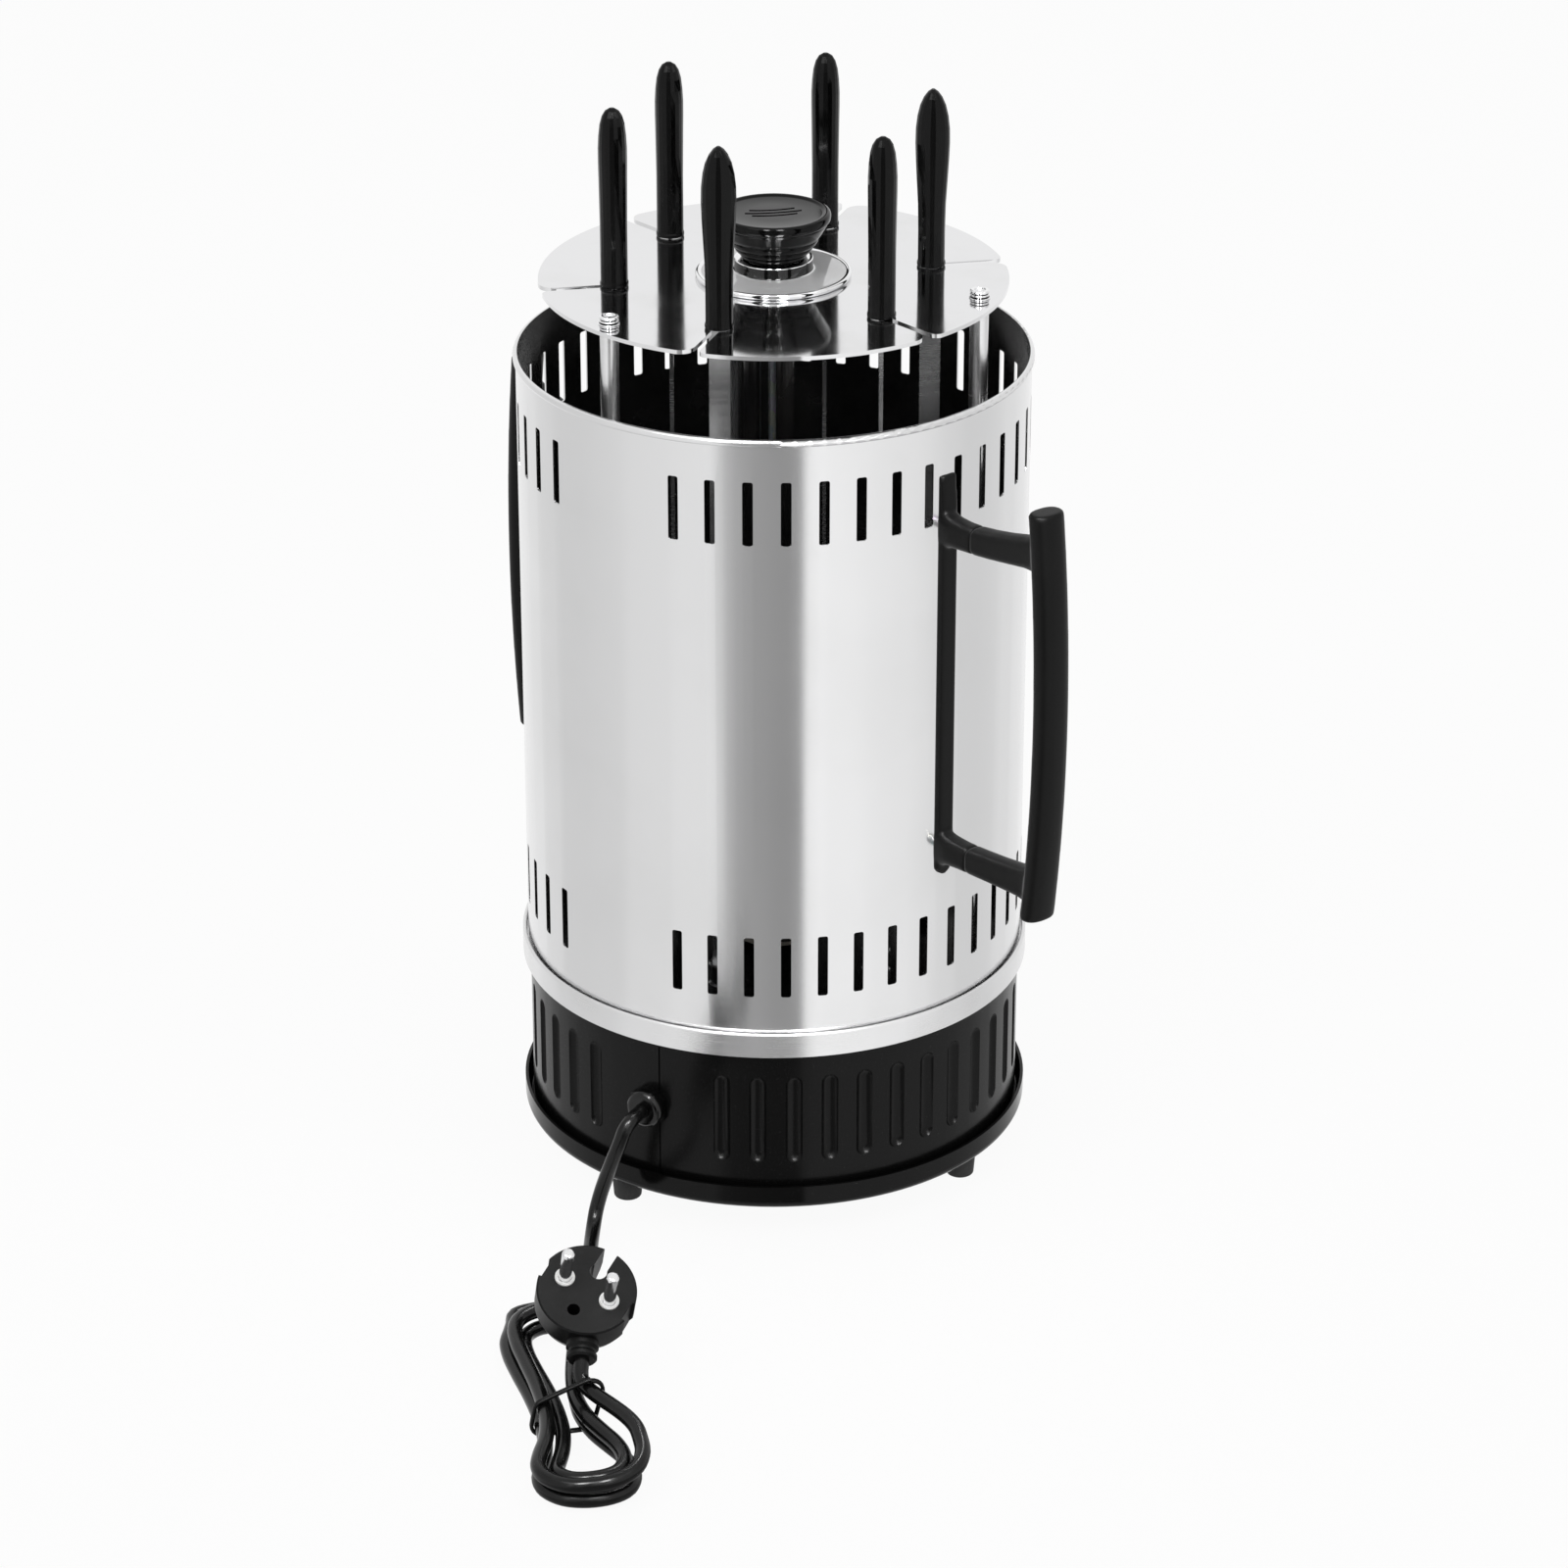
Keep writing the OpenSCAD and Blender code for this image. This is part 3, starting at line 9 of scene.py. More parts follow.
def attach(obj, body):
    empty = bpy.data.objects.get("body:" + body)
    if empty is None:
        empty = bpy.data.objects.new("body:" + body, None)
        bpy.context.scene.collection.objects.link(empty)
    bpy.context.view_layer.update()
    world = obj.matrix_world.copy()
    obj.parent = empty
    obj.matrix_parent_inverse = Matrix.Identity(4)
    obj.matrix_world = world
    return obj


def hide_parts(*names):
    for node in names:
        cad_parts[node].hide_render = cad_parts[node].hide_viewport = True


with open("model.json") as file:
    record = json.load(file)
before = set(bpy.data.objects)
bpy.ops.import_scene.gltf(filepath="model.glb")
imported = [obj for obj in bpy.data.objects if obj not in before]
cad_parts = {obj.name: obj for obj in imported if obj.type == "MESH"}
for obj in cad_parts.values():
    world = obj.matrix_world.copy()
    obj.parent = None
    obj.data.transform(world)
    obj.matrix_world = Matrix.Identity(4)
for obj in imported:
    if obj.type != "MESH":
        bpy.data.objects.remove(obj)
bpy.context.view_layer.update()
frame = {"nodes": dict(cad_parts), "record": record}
nodes = frame["nodes"]
slotOf = {part["node"]: part["material_slot"] for part in frame["record"]["subparts"]}
mm = 0.001


# shader helpers: one way to add a node to any tree, and sums on sockets

def plug(tree, socket, value):
    value = value.socket if isinstance(value, Amount) else value
    if isinstance(value, bpy.types.NodeSocket):
        tree.links.new(value, socket)
    elif socket.type == "RGBA":
        socket.default_value = (*value[:3], 1)
    else:
        socket.default_value = value


def addNode(tree, kind, values=None, output=0, **settings):
    made = tree.nodes.new(kind)
    for key, value in settings.items():
        setattr(made, key, value)
    for key, value in (values or {}).items():
        for one in value if isinstance(value, list) else [value]:
            plug(tree, made.inputs[key], one)
    return made.outputs[output]


class Amount:
    def __init__(self, finish, socket):
        self.finish = finish
        self.socket = socket

    def sum(self, operation, *values):
        return self.finish.node("ShaderNodeMath", dict(enumerate(values)), operation=operation)

    def __add__(self, other): return self.sum("ADD", self, other)
    def __radd__(self, other): return self.sum("ADD", other, self)
    def __sub__(self, other): return self.sum("SUBTRACT", self, other)
    def __rsub__(self, other): return self.sum("SUBTRACT", other, self)
    def __mul__(self, other): return self.sum("MULTIPLY", self, other)
    def __rmul__(self, other): return self.sum("MULTIPLY", other, self)
    def __truediv__(self, other): return self.sum("DIVIDE", self, other)
    def __rtruediv__(self, other): return self.sum("DIVIDE", other, self)
    def __pow__(self, other): return self.sum("POWER", self, other)
    def above(self, other): return self.sum("GREATER_THAN", self, other)
    def below(self, other): return self.sum("LESS_THAN", self, other)

    def ramp(self, low, high):
        # a soft step from 0 at the low value to 1 at the high one
        return self.finish.node("ShaderNodeMapRange", {"Value": self, "From Min": low, "From Max": high},
                                interpolation_type="SMOOTHSTEP")


class Finish:
    def __init__(self, name):
        self.material = bpy.data.materials.new(name)
        self.material.use_nodes = True
        self.tree = self.material.node_tree
        self.tree.nodes.clear()
        self.surface = self.tree.nodes.new("ShaderNodeBsdfPrincipled")
        self.output = self.tree.nodes.new("ShaderNodeOutputMaterial")
        self.tree.links.new(self.surface.outputs[0], self.output.inputs["Surface"])
        self.place = self.node("ShaderNodeTexCoord", output="Object")

    def node(self, kind, *values, **settings):
        return Amount(self, addNode(self.tree, kind, *values, **settings))

    def use(self, **values):
        names = {"color": "Base Color", "roughness": "Roughness", "metallic": "Metallic", "normal": "Normal",
                 "specular": "Specular IOR Level", "coat": "Coat Weight", "coatRoughness": "Coat Roughness",
                 "anisotropic": "Anisotropic", "turn": "Anisotropic Rotation", "glow": "Emission Color",
                 "glowStrength": "Emission Strength", "under": "Subsurface Weight",
                 "underScale": "Subsurface Scale"}
        for key, value in values.items():
            plug(self.tree, self.surface.inputs[names[key]], value)
        return self.material

    def stretch(self, scale, turn=(0, 0, 0)):
        return self.node("ShaderNodeMapping", {"Vector": self.place, "Scale": scale, "Rotation": turn})

    def noise(self, scale, detail=3.0, rough=0.5, place=None):
        return self.node("ShaderNodeTexNoise", {"Vector": place or self.place, "Scale": scale,
                                                    "Detail": detail, "Roughness": rough})

    def mix(self, share, first, second):
        return self.node("ShaderNodeMix", {0: share, 6: first, 7: second}, output=2, data_type="RGBA")

    def xyz(self):
        parts = self.tree.nodes.new("ShaderNodeSeparateXYZ")
        self.tree.links.new(self.place.socket, parts.inputs[0])
        return [Amount(self, out) for out in parts.outputs]

    def radius(self):
        x, y = self.xyz()[:2]
        return (x * x + y * y) ** 0.5

    def bump(self, height, distance, strength=1.0, below=None):
        values = {"Height": height, "Distance": distance, "Strength": strength}
        if below is not None:
            values["Normal"] = below
        return self.node("ShaderNodeBump", values)


def grey(level, tint=0.0):
    return (level, level, level * (1 + tint), 1)


# shape helpers: a geometry tree with named sizes, lofts and turned shapes

def placed(name, data):
    made = bpy.data.objects.new(name, data)
    bpy.context.collection.objects.link(made)
    return made


def plainMesh(made):
    # the finished shape of an object and its modifiers, which both go
    mesh = bpy.data.meshes.new_from_object(made.evaluated_get(bpy.context.evaluated_depsgraph_get()))
    made.modifiers.clear()
    bpy.data.objects.remove(made)
    return mesh


class Recipe:
    def __init__(self, name, sizes):
        self.tree = bpy.data.node_groups.new(name, "GeometryNodeTree")
        self.keys = {}
        for direction in ("INPUT", "OUTPUT"):
            self.tree.interface.new_socket("Geometry", in_out=direction, socket_type="NodeSocketGeometry")
        for key, value in sizes.items():
            kind = "NodeSocketInt" if isinstance(value, int) else "NodeSocketFloat"
            socket = self.tree.interface.new_socket(key, in_out="INPUT", socket_type=kind)
            socket.default_value = value
            self.keys[key] = socket.identifier
        self.start = self.tree.nodes.new("NodeGroupInput")
        self.end = self.tree.nodes.new("NodeGroupOutput")
        self.base = self.size("Geometry")

    def size(self, key):
        return self.start.outputs[key]

    def node(self, kind, *values, **settings):
        return addNode(self.tree, kind, *values, **settings)

    def sum(self, operation, *values):
        return self.node("ShaderNodeMath", dict(enumerate(values)), operation=operation)

    def vector(self, x=0.0, y=0.0, z=0.0):
        return self.node("ShaderNodeCombineXYZ", {0: x, 1: y, 2: z})

    def moved(self, geometry, shift=None, turn=None):
        values = {"Geometry": geometry}
        if shift:
            values["Translation"] = shift
        if turn:
            values["Rotation"] = turn
        return self.node("GeometryNodeTransform", values)

    def finish(self, geometry, material):
        real = self.node("GeometryNodeRealizeInstances", {"Geometry": geometry})
        painted = self.node("GeometryNodeSetMaterial", {"Geometry": real, "Material": material})
        self.tree.links.new(painted, self.end.inputs[0])

    def make(self, name, shape, **sizes):
        base = placed(name + "Base", shape)
        recipe = base.modifiers.new("recipe", "NODES")
        recipe.node_group = self.tree
        for key, value in sizes.items():
            recipe[self.keys[key]] = value
        return pieceOf(name, plainMesh(base))


def pieceOf(name, mesh):
    # smooth faces, except across edges that a recipe marked as sharp
    mesh.name = name
    made = bmesh.new()
    made.from_mesh(mesh)
    bmesh.ops.recalc_face_normals(made, faces=made.faces)
    made.to_mesh(mesh)
    made.free()
    mesh.polygons.foreach_set("use_smooth", [True] * len(mesh.polygons))
    return placed(name, mesh)


def onBody(piece, body, slot, *replaced, finish=None):
    piece.data.materials.clear()
    piece.data.materials.append(finish or finishes[slot])
    if replaced:
        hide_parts(*replaced)
    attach(piece, body)
    return piece


def meshFrom(made, name):
    bmesh.ops.recalc_face_normals(made, faces=made.faces)
    mesh = bpy.data.meshes.new(name)
    made.to_mesh(mesh)
    made.free()
    return mesh


def loftedMesh(name, shells):
    # closed skins, each over rings that have the same number of points
    made = bmesh.new()
    for rings in shells:
        verts = [[made.verts.new(point) for point in ring] for ring in rings]
        count = len(rings[0])
        for low, high in zip(verts, verts[1:]):
            for k in range(count):
                n = (k + 1) % count
                made.faces.new((low[k], low[n], high[n], high[k]))
        made.faces.new(list(reversed(verts[0])))
        made.faces.new(verts[-1])
    return meshFrom(made, name)


def turnedRings(made, profile, sides, closed=False):
    # a profile turned about Z: an open one runs from end to end, a closed one round a bore
    rings = []
    for r, z in profile:
        if r < 1e-7:
            rings.append([made.verts.new((0, 0, z))])
        else:
            rings.append([made.verts.new((r * math.cos(a), r * math.sin(a), z))
                          for a in (2 * math.pi * k / sides for k in range(sides))])
    for low, high in zip(rings, rings[1:] + (rings[:1] if closed else [])):
        for k in range(sides):
            n = (k + 1) % sides
            corners = [low[k % len(low)], low[n % len(low)], high[n % len(high)], high[k % len(high)]]
            made.faces.new(list(dict.fromkeys(corners)))
    return rings


def turnedMesh(name, profile, sides, closed=False):
    made = bmesh.new()
    turnedRings(made, profile, sides, closed)
    return meshFrom(made, name)


def arcPoints(x, z, r, first, last, steps, tall=None):
    # an arc between two angles, or a part of an upright oval
    angles = [math.radians(first + (last - first) * i / steps) for i in range(steps + 1)]
    return [(x + r * math.cos(a), z + (tall or r) * math.sin(a)) for a in angles]


def chainMesh(name, points):
    mesh = bpy.data.meshes.new(name)
    mesh.from_pydata(points, [(i, i + 1) for i in range(len(points) - 1)], [])
    return mesh


# metals; a noise is given its scale, detail and roughness, a bump its depth in metres and its strength

acrossGrain = 0.25      # a quarter turn of the brushed highlight

casingLook = {"steel": 0.74, "dull": 0.965, "roughness": 0.17, "grain": 0.05, "grainStretch": (9, 9, 5200),
              "smudge": 0.03, "smudgeScale": 14.0, "waveScale": 3.2, "waveDeep": 0.0016, "brushed": 0.6,
              "innerRadius": 0.0994, "inside": 0.008, "paintedShadePale": 2.2, "paintedShadeScale": 60.0,
              "paintedShadeRough": (0.16, 0.12)}


def casingSteel():
    f, c = Finish("casingSteel"), casingLook
    grain = f.noise(1.0, 2.0, 0.6, f.stretch(c["grainStretch"]))
    smudge = f.noise(c["smudgeScale"], 4.0, 0.55)
    # the casing's inner wall is painted near black and dull: painted shade and painted dark reflections, with
    # a mottled tone
    inner = f.radius().below(c["innerRadius"])
    paintedShadeMottle = f.noise(c["paintedShadeScale"], 5.0, 0.6)
    outside = f.mix(smudge.ramp(0.42, 0.7), grey(c["steel"], 0.006), grey(c["steel"] * c["dull"], 0.004))
    inside = f.mix(paintedShadeMottle.ramp(0.35, 0.75), grey(c["inside"]), grey(c["inside"] * c["paintedShadePale"]))
    steelRough = c["roughness"] + (grain - 0.5) * c["grain"] + smudge.ramp(0.35, 0.75) * c["smudge"]
    paintedShadeRough = c["paintedShadeRough"][0] + paintedShadeMottle * c["paintedShadeRough"][1]
    wave = f.bump(f.noise(c["waveScale"], 1.0), c["waveDeep"], 0.12)
    return f.use(
        color=f.mix(inner, outside, inside), metallic=1 - inner,
        roughness=steelRough * (1 - inner) + inner * paintedShadeRough,
        normal=f.bump(grain, 0.000012, 0.4, wave), anisotropic=c["brushed"], turn=acrossGrain)


def brushedSteel(name, level, roughness, stretch, aniso=0.0, mark=0.05):
    f = Finish(name)
    grain = f.noise(1.0, 2.0, 0.6, f.stretch(stretch))
    mottle = f.noise(34.0, 3.0)
    f.use(color=f.mix(mottle.ramp(0.4, 0.75), grey(level, 0.008), grey(level * 0.93)), metallic=1.0,
          roughness=roughness + (grain - 0.5) * 0.1 + mottle.ramp(0.4, 0.8) * mark,
          normal=f.bump(grain, 0.00002, 0.35))
    return f.use(anisotropic=aniso, turn=acrossGrain) if aniso else f.material


discLook = {"bright": 0.77, "dull": 0.73, "roughness": 0.06, "swirl": 0.03, "swirlStretch": (60, 900, 60),
            "swirlTurn": 0.4, "smudge": 0.05, "smudgeScale": 22.0}


def mirrorSteel():
    f, d = Finish("mirrorSteel"), discLook
    swirl = f.noise(1.0, 2.0, 0.5, f.stretch(d["swirlStretch"], (0, 0, d["swirlTurn"])))
    smudge = f.noise(d["smudgeScale"], 4.0, 0.6)
    return f.use(
        color=f.mix(smudge.ramp(0.45, 0.75), grey(d["bright"], 0.01), grey(d["dull"])), metallic=1.0,
        roughness=d["roughness"] + swirl * d["swirl"] + smudge.ramp(0.45, 0.8) * d["smudge"],
        normal=f.bump(f.noise(7.0, 1.0), 0.0012, 0.1))


def chrome(name="chromePlate", level=0.86, roughness=0.045, shaded=None, shade=0.006, metal=1.0, pale=None,
           paleShare=0.88):
    # shaded says where the plate is painted dark (on the post caps, painted shade in their grooves), pale
    # where it is softer than a mirror
    f = Finish(name)
    haze = f.noise(90.0, 3.0)
    tone = f.mix(haze.ramp(0.4, 0.8), grey(level, 0.01), grey(level * 0.94))
    if shaded:
        share = shaded(f)
        tone = f.mix(share, tone, grey(shade))
        f.use(metallic=1 - share * (1 - metal) - (pale(f) * paleShare if pale else 0.0))
    else:
        f.use(metallic=1.0)
    return f.use(
        color=tone, roughness=roughness + haze.ramp(0.45, 0.8) * 0.05,
        normal=f.bump(f.noise(40.0, 1.0), 0.0002, 0.15))


def heightBands(f, foot, bands):
    z = f.xyz()[2]
    shares = [z.above((foot + low) * mm) * z.below((foot + high) * mm) for low, high in bands]
    return sum(shares[1:], shares[0])


def ringBand(f, inner, outer):
    r = f.radius()
    return r.above(inner * mm) * r.below(outer * mm)


def zincPlate():
    f = Finish("zincPlate")
    spangle = f.node("ShaderNodeTexVoronoi", {"Vector": f.place, "Scale": 260.0}, output="Color")
    cloud = f.noise(70.0, 4.0)
    base = f.mix(cloud.ramp(0.3, 0.75), (0.58, 0.59, 0.62), (0.48, 0.49, 0.5))
    return f.use(
        color=f.mix(0.12, base, spangle), metallic=1.0, roughness=0.34 + cloud * 0.2,
        normal=f.bump(f.noise(400.0, 3.0), 0.00004, 0.4))


def turnedBrass():
    f = Finish("turnedBrass")
    rings = f.noise(1.0, 2.0, 0.6, f.stretch((120, 120, 3800)))
    dull = f.noise(90.0, 4.0)
    return f.use(
        color=f.mix(dull.ramp(0.4, 0.75), (0.66, 0.47, 0.2), (0.46, 0.31, 0.13)), metallic=1.0,
        roughness=0.26 + rings * 0.12 + dull * 0.1, normal=f.bump(rings, 0.00003, 0.4))


# blacks and mouldings

def enamel(name, level, roughness, peel):
    f = Finish(name)
    orangePeel = f.noise(620.0, 2.0, 0.5)
    dust = f.noise(1900.0, 2.0).ramp(0.66, 0.78)
    wide = f.noise(26.0, 3.0)
    return f.use(
        color=f.mix(dust * 0.12, grey(level), grey(0.1)),
        roughness=roughness + wide.ramp(0.4, 0.75) * 0.07 + dust * 0.2,
        normal=f.bump(orangePeel, 0.00008, peel), specular=0.14)


def rubber():
    f = Finish("footRubber")
    fine = f.noise(1500.0, 3.0)
    scuff = f.noise(120.0, 4.0, 0.65).ramp(0.55, 0.75)
    return f.use(
        color=f.mix(scuff * 0.5, grey(0.018), grey(0.06)), roughness=0.62 + fine * 0.2,
        normal=f.bump(fine, 0.0001, 0.35), specular=0.4)


def mouldedBlack(name, level, roughness, grain, peel=0.0, specular=0.15):
    f = Finish(name)
    fine = f.noise(2600.0, 2.0)
    cloud = f.noise(45.0, 3.0)
    worn = f.noise(210.0, 5.0, 0.65).ramp(0.6, 0.78)
    normal = f.bump(fine, 0.00006, grain)
    if peel:
        normal = f.bump(f.noise(90.0, 1.0), 0.0004, peel, normal)
    return f.use(
        color=f.mix(worn * 0.35, grey(level), grey(level * 2.6)),
        roughness=roughness + cloud.ramp(0.35, 0.7) * 0.06 + worn * 0.06,
        normal=normal, specular=specular)


def cordSheath():
    f = Finish("cordSheath")
    fine = f.noise(900.0, 2.0)
    rub = f.noise(130.0, 4.0, 0.6)
    return f.use(
        color=f.mix(rub.ramp(0.5, 0.8) * 0.4, grey(0.004), grey(0.016)),
        roughness=0.15 + rub.ramp(0.35, 0.75) * 0.1 + fine * 0.04, specular=0.26,
        normal=f.bump(fine, 0.00004, 0.12, f.bump(f.noise(55.0, 1.0), 0.0004, 0.12)))


def palePlastic(name, first, second, roughness, under=0.0):
    f = Finish(name)
    cloud = f.noise(60.0, 4.0)
    fine = f.noise(1400.0, 2.0)
    f.use(color=f.mix(cloud.ramp(0.35, 0.75), first, second), roughness=roughness + cloud * 0.1,
          normal=f.bump(fine, 0.00006, 0.3))
    return f.use(under=under, underScale=0.002) if under else f.material


def motorPaint():
    f = Finish("motorPaint")
    cloud = f.noise(80.0, 4.0)
    return f.use(
        color=f.mix(cloud.ramp(0.4, 0.7), grey(0.24), grey(0.3)),
        roughness=0.42 + cloud * 0.15, metallic=0.3,
        normal=f.bump(f.noise(900.0, 2.0), 0.00008, 0.3))


def heaterGlass():
    f = Finish("heaterGlass")
    bake = f.noise(38.0, 4.0, 0.6)
    streak = f.noise(1.0, 3.0, 0.6, f.stretch((420, 420, 14)))
    return f.use(
        color=f.mix(bake.ramp(0.35, 0.7), (0.012, 0.012, 0.013), (0.026, 0.024, 0.023)),
        roughness=0.16 + streak * 0.12 + bake.ramp(0.5, 0.8) * 0.08, coat=0.6, coatRoughness=0.08,
        normal=f.bump(streak, 0.00008, 0.25))


finishes = {
    "casing_steel": casingSteel(),
    "stainless": brushedSteel("satinSteel", 0.74, 0.24, (30, 30, 2400), 0.5),
    "mirror_steel": mirrorSteel(),
    "chrome": chrome(),
    "nickel": chrome("nickelPlate", 0.76, 0.12),
    "zinc_steel": zincPlate(),
    "bush_brass": turnedBrass(),
    "black_enamel": enamel("satinEnamel", 0.004, 0.2, 0.16),
    "gloss_black_enamel": enamel("glossEnamel", 0.003, 0.1, 0.1),
    "rubber_black": rubber(),
    "gloss_black_plastic": mouldedBlack("glossMoulding", 0.002, 0.075, 0.03, 0.1, 0.16),
    "black_plastic": mouldedBlack("fineMoulding", 0.005, 0.33, 0.25, specular=0.12),
    "cord_black": cordSheath(),
    "white_plastic": palePlastic("collarWhite", (0.78, 0.78, 0.77), (0.7, 0.7, 0.68), 0.4),
    "gear_nylon": palePlastic("gearNylon", (0.72, 0.7, 0.63), (0.62, 0.6, 0.52), 0.42, 0.3),
    "ceramic": palePlastic("holderCeramic", (0.74, 0.7, 0.64), (0.6, 0.55, 0.48), 0.55),
    "motor_grey": motorPaint(),
    "heater_glass": heaterGlass(),
}
glandGloss = mouldedBlack("glandMoulding", 0.002, 0.12, 0.05, 0.15, 0.35)
for name, node in nodes.items():
    for slot in node.material_slots:
        slot.material = glandGloss if name.startswith("gland") else finishes[slotOf[name]]
print("finishes on", len(nodes), "nodes")


# the mains cord, on the route of its two solids

cordRoute = {
    "radius": 3.0, "shown": 2.94, "sides": 20, "housing": 99.3, "hexagon": 2.2, "nut": 4.3,
    "outletAngle": -119.5, "outletHeight": 50.8, "ring": 2.2,
    "lead": [(-7.1, -12.5, 50.4), (-9.4, -15.2, 48.2), (-11.8, -16, 41.8), (-14.6, -15.2, 34),
             (-17.1, -13.2, 26), (-19.6, -11.8, 17.5), (-21.6, -12.6, 9.8), (-22.6, -17.6, 5.2),
             (-23.1, -24.6, 3.4), (-23.3, -33.6, 3.2), (-23.3, -45.6, 3.2), (-23.9, -56.6, 3.2),
             (-26.1, -66.1, 3.6), (-30.9, -74.6, 4.2)],
    "hankPlace": (-27.6, -160.6, 0), "hankAngle": 12.0, "bow": 1250, "step": 6.7,
    "loop": [(0, 75), (-8, 73), (-14, 67), (-16, 58), (-15, 44), (-12, 25), (-10.5, 6), (-11.5, -11),
             (-15, -24), (-19, -34), (-19, -44), (-12, -53), (0, -56), (12, -53), (19, -44), (20.5, -33),
             (18, -22), (13.5, -11), (10.5, 3), (11, 19), (13.5, 37), (15.5, 52), (14.5, 64), (9, 72)],
    "lowLayer": 4.6, "layerStep": 6.5, "first": 30, "last": 945, "ringsPerTurn": 30,
    "climb": 5.5, "climbRun": 80, "crossing": 180,
    "plugPlace": (-20.7, -128, 42.3), "plugLean": 31.4, "plugTurn": 12.0,
    "neckTurn": -12.0, "neckLength": 25.5, "neckDepth": 8.5, "overSteps": 10, "overPull": 14, "overBack": 8,
    # straight runs, in cord radii: out of the gland, before the hank, and into the hank and the plug's neck
    "stub": 1.3, "leadIn": 2.5, "straight": 2,
}
outlet = math.radians(cordRoute["outletAngle"])
outward = Vector((math.cos(outlet), math.sin(outlet), 0))
outletSeat = outward * cordRoute["housing"]      # the whole route is placed from here
hankPlace = outletSeat + Vector(cordRoute["hankPlace"])


def loopLine(angle):
    # a rounded line through the loop's points, bowed along its length
    loop = cordRoute["loop"]
    t = angle * len(loop) / 360
    k = math.floor(t)
    f = t - k
    p, q, r, w = (Vector(loop[(k + i) % len(loop)]) for i in (-1, 0, 1, 2))
    m = q + (r - p) * f / 2 + (2 * p - 5 * q + 4 * r - w) * f * f / 2 + (3 * q - p - 3 * r + w) * f ** 3 / 2
    return Vector((m.x + m.y ** 2 / cordRoute["bow"], m.y))


def hankSpot(angle):
    # the turns step inwards and back out, and change from the low layer to the high one half way
    c = cordRoute
    middle = (c["first"] + c["last"]) / 2
    turn = (angle - c["first"] if angle < middle else c["last"] - angle) / 360
    y = max(0, min(1, (angle - middle) / c["crossing"] + 0.5))
    along = (loopLine(angle + 2) - loopLine(angle - 2)).normalized()
    m = loopLine(angle) - c["step"] * turn * Vector((along.y, -along.x))
    lift = c["climb"] * max(0, (angle - c["last"]) / c["climbRun"] + 1) ** 2
    return Vector((m.x, m.y, c["lowLayer"] + c["layerStep"] * y * y * (3 - 2 * y) + lift))


def turned(v, angle):
    a = math.radians(angle)
    return Vector((v[0] * math.cos(a) - v[1] * math.sin(a), v[0] * math.sin(a) + v[1] * math.cos(a), v[2]))


def plugWay(x, y, z):
    a = math.radians(cordRoute["plugLean"])
    leant = (x, y * math.cos(a) - z * math.sin(a), y * math.sin(a) + z * math.cos(a))
    return turned(leant, cordRoute["plugTurn"])


def bezier(a, b, c, d, t):
    return (1 - t) ** 3 * a + 3 * (1 - t) ** 2 * t * b + 3 * (1 - t) * t * t * c + t ** 3 * d


def cordPoints():
    # gland, lead, hank, and over to the plug's neck
    c = cordRoute
    gland = outward * (c["housing"] + c["hexagon"] + c["nut"]) + Vector((0, 0, c["outletHeight"]))
    steps = round((c["last"] - c["first"]) * c["ringsPerTurn"] / 360)
    loops = [hankPlace + turned(hankSpot(c["first"] + (c["last"] - c["first"]) * i / steps), c["hankAngle"])
             for i in range(steps + 1)]
    into = (loops[1] - loops[0]).normalized()
    start = loops[0] - c["straight"] * c["radius"] * into
    away = (loops[-1] - loops[-2]).normalized()
    s, k = math.sin(math.radians(c["neckTurn"])), math.cos(math.radians(c["neckTurn"]))
    neck = outletSeat + Vector(c["plugPlace"])
    neck += plugWay(c["neckLength"] * s, -c["neckLength"] * k, -c["neckDepth"])
    neckWay = plugWay(s, -k, 0)
    lead = neck + c["straight"] * c["radius"] * neckWay
    over = [bezier(loops[-1], loops[-1] + c["overPull"] * away, lead + c["overBack"] * neckWay, lead,
                   i / c["overSteps"]) for i in range(1, c["overSteps"] + 1)]
    points = ([gland, gland + c["stub"] * c["radius"] * outward]
              + [outletSeat + Vector(p) for p in c["lead"]]
              + [start - c["leadIn"] * c["radius"] * into, start] + loops + over + [neck])
    return [p * mm for p in points]


def smoothLine(points, step, parts=12):
    # a rounded line through the points, then rings at an even step along it
    dense = []
    for i in range(len(points) - 1):
        p, q, r, w = (points[max(0, min(len(points) - 1, i + j))] for j in (-1, 0, 1, 2))
        a, b = (q - p).length ** 0.5 or 1e-6, (r - q).length ** 0.5 or 1e-6
        c = (w - r).length ** 0.5 or 1e-6
        m1 = (r - q) + b * ((q - p) / a - (r - p) / (a + b)) if i else (r - q)
        m2 = (r - q) + b * ((w - r) / c - (w - q) / (b + c)) if i < len(points) - 2 else (r - q)
        for k in range(parts):
            t = k / parts
            dense.append((2 * t ** 3 - 3 * t * t + 1) * q + (t ** 3 - 2 * t * t + t) * m1
                         + (3 * t * t - 2 * t ** 3) * r + (t ** 3 - t * t) * m2)
    dense.append(points[-1])
    spans = [(b - a).length for a, b in zip(dense, dense[1:])]
    whole = sum(spans)
    count = round(whole / step)
    line, run, k = [dense[0]], 0.0, 0
    for i in range(1, count):
        want = whole * i / count
        while run + spans[k] < want:
            run += spans[k]
            k += 1
        line.append(dense[k].lerp(dense[k + 1], (want - run) / spans[k]))
    return line + [dense[-1]]


routePoints = cordPoints()
cordLine = smoothLine(routePoints, cordRoute["ring"] * mm)
cordLength = sum((b - a).length for a, b in zip(cordLine, cordLine[1:]))


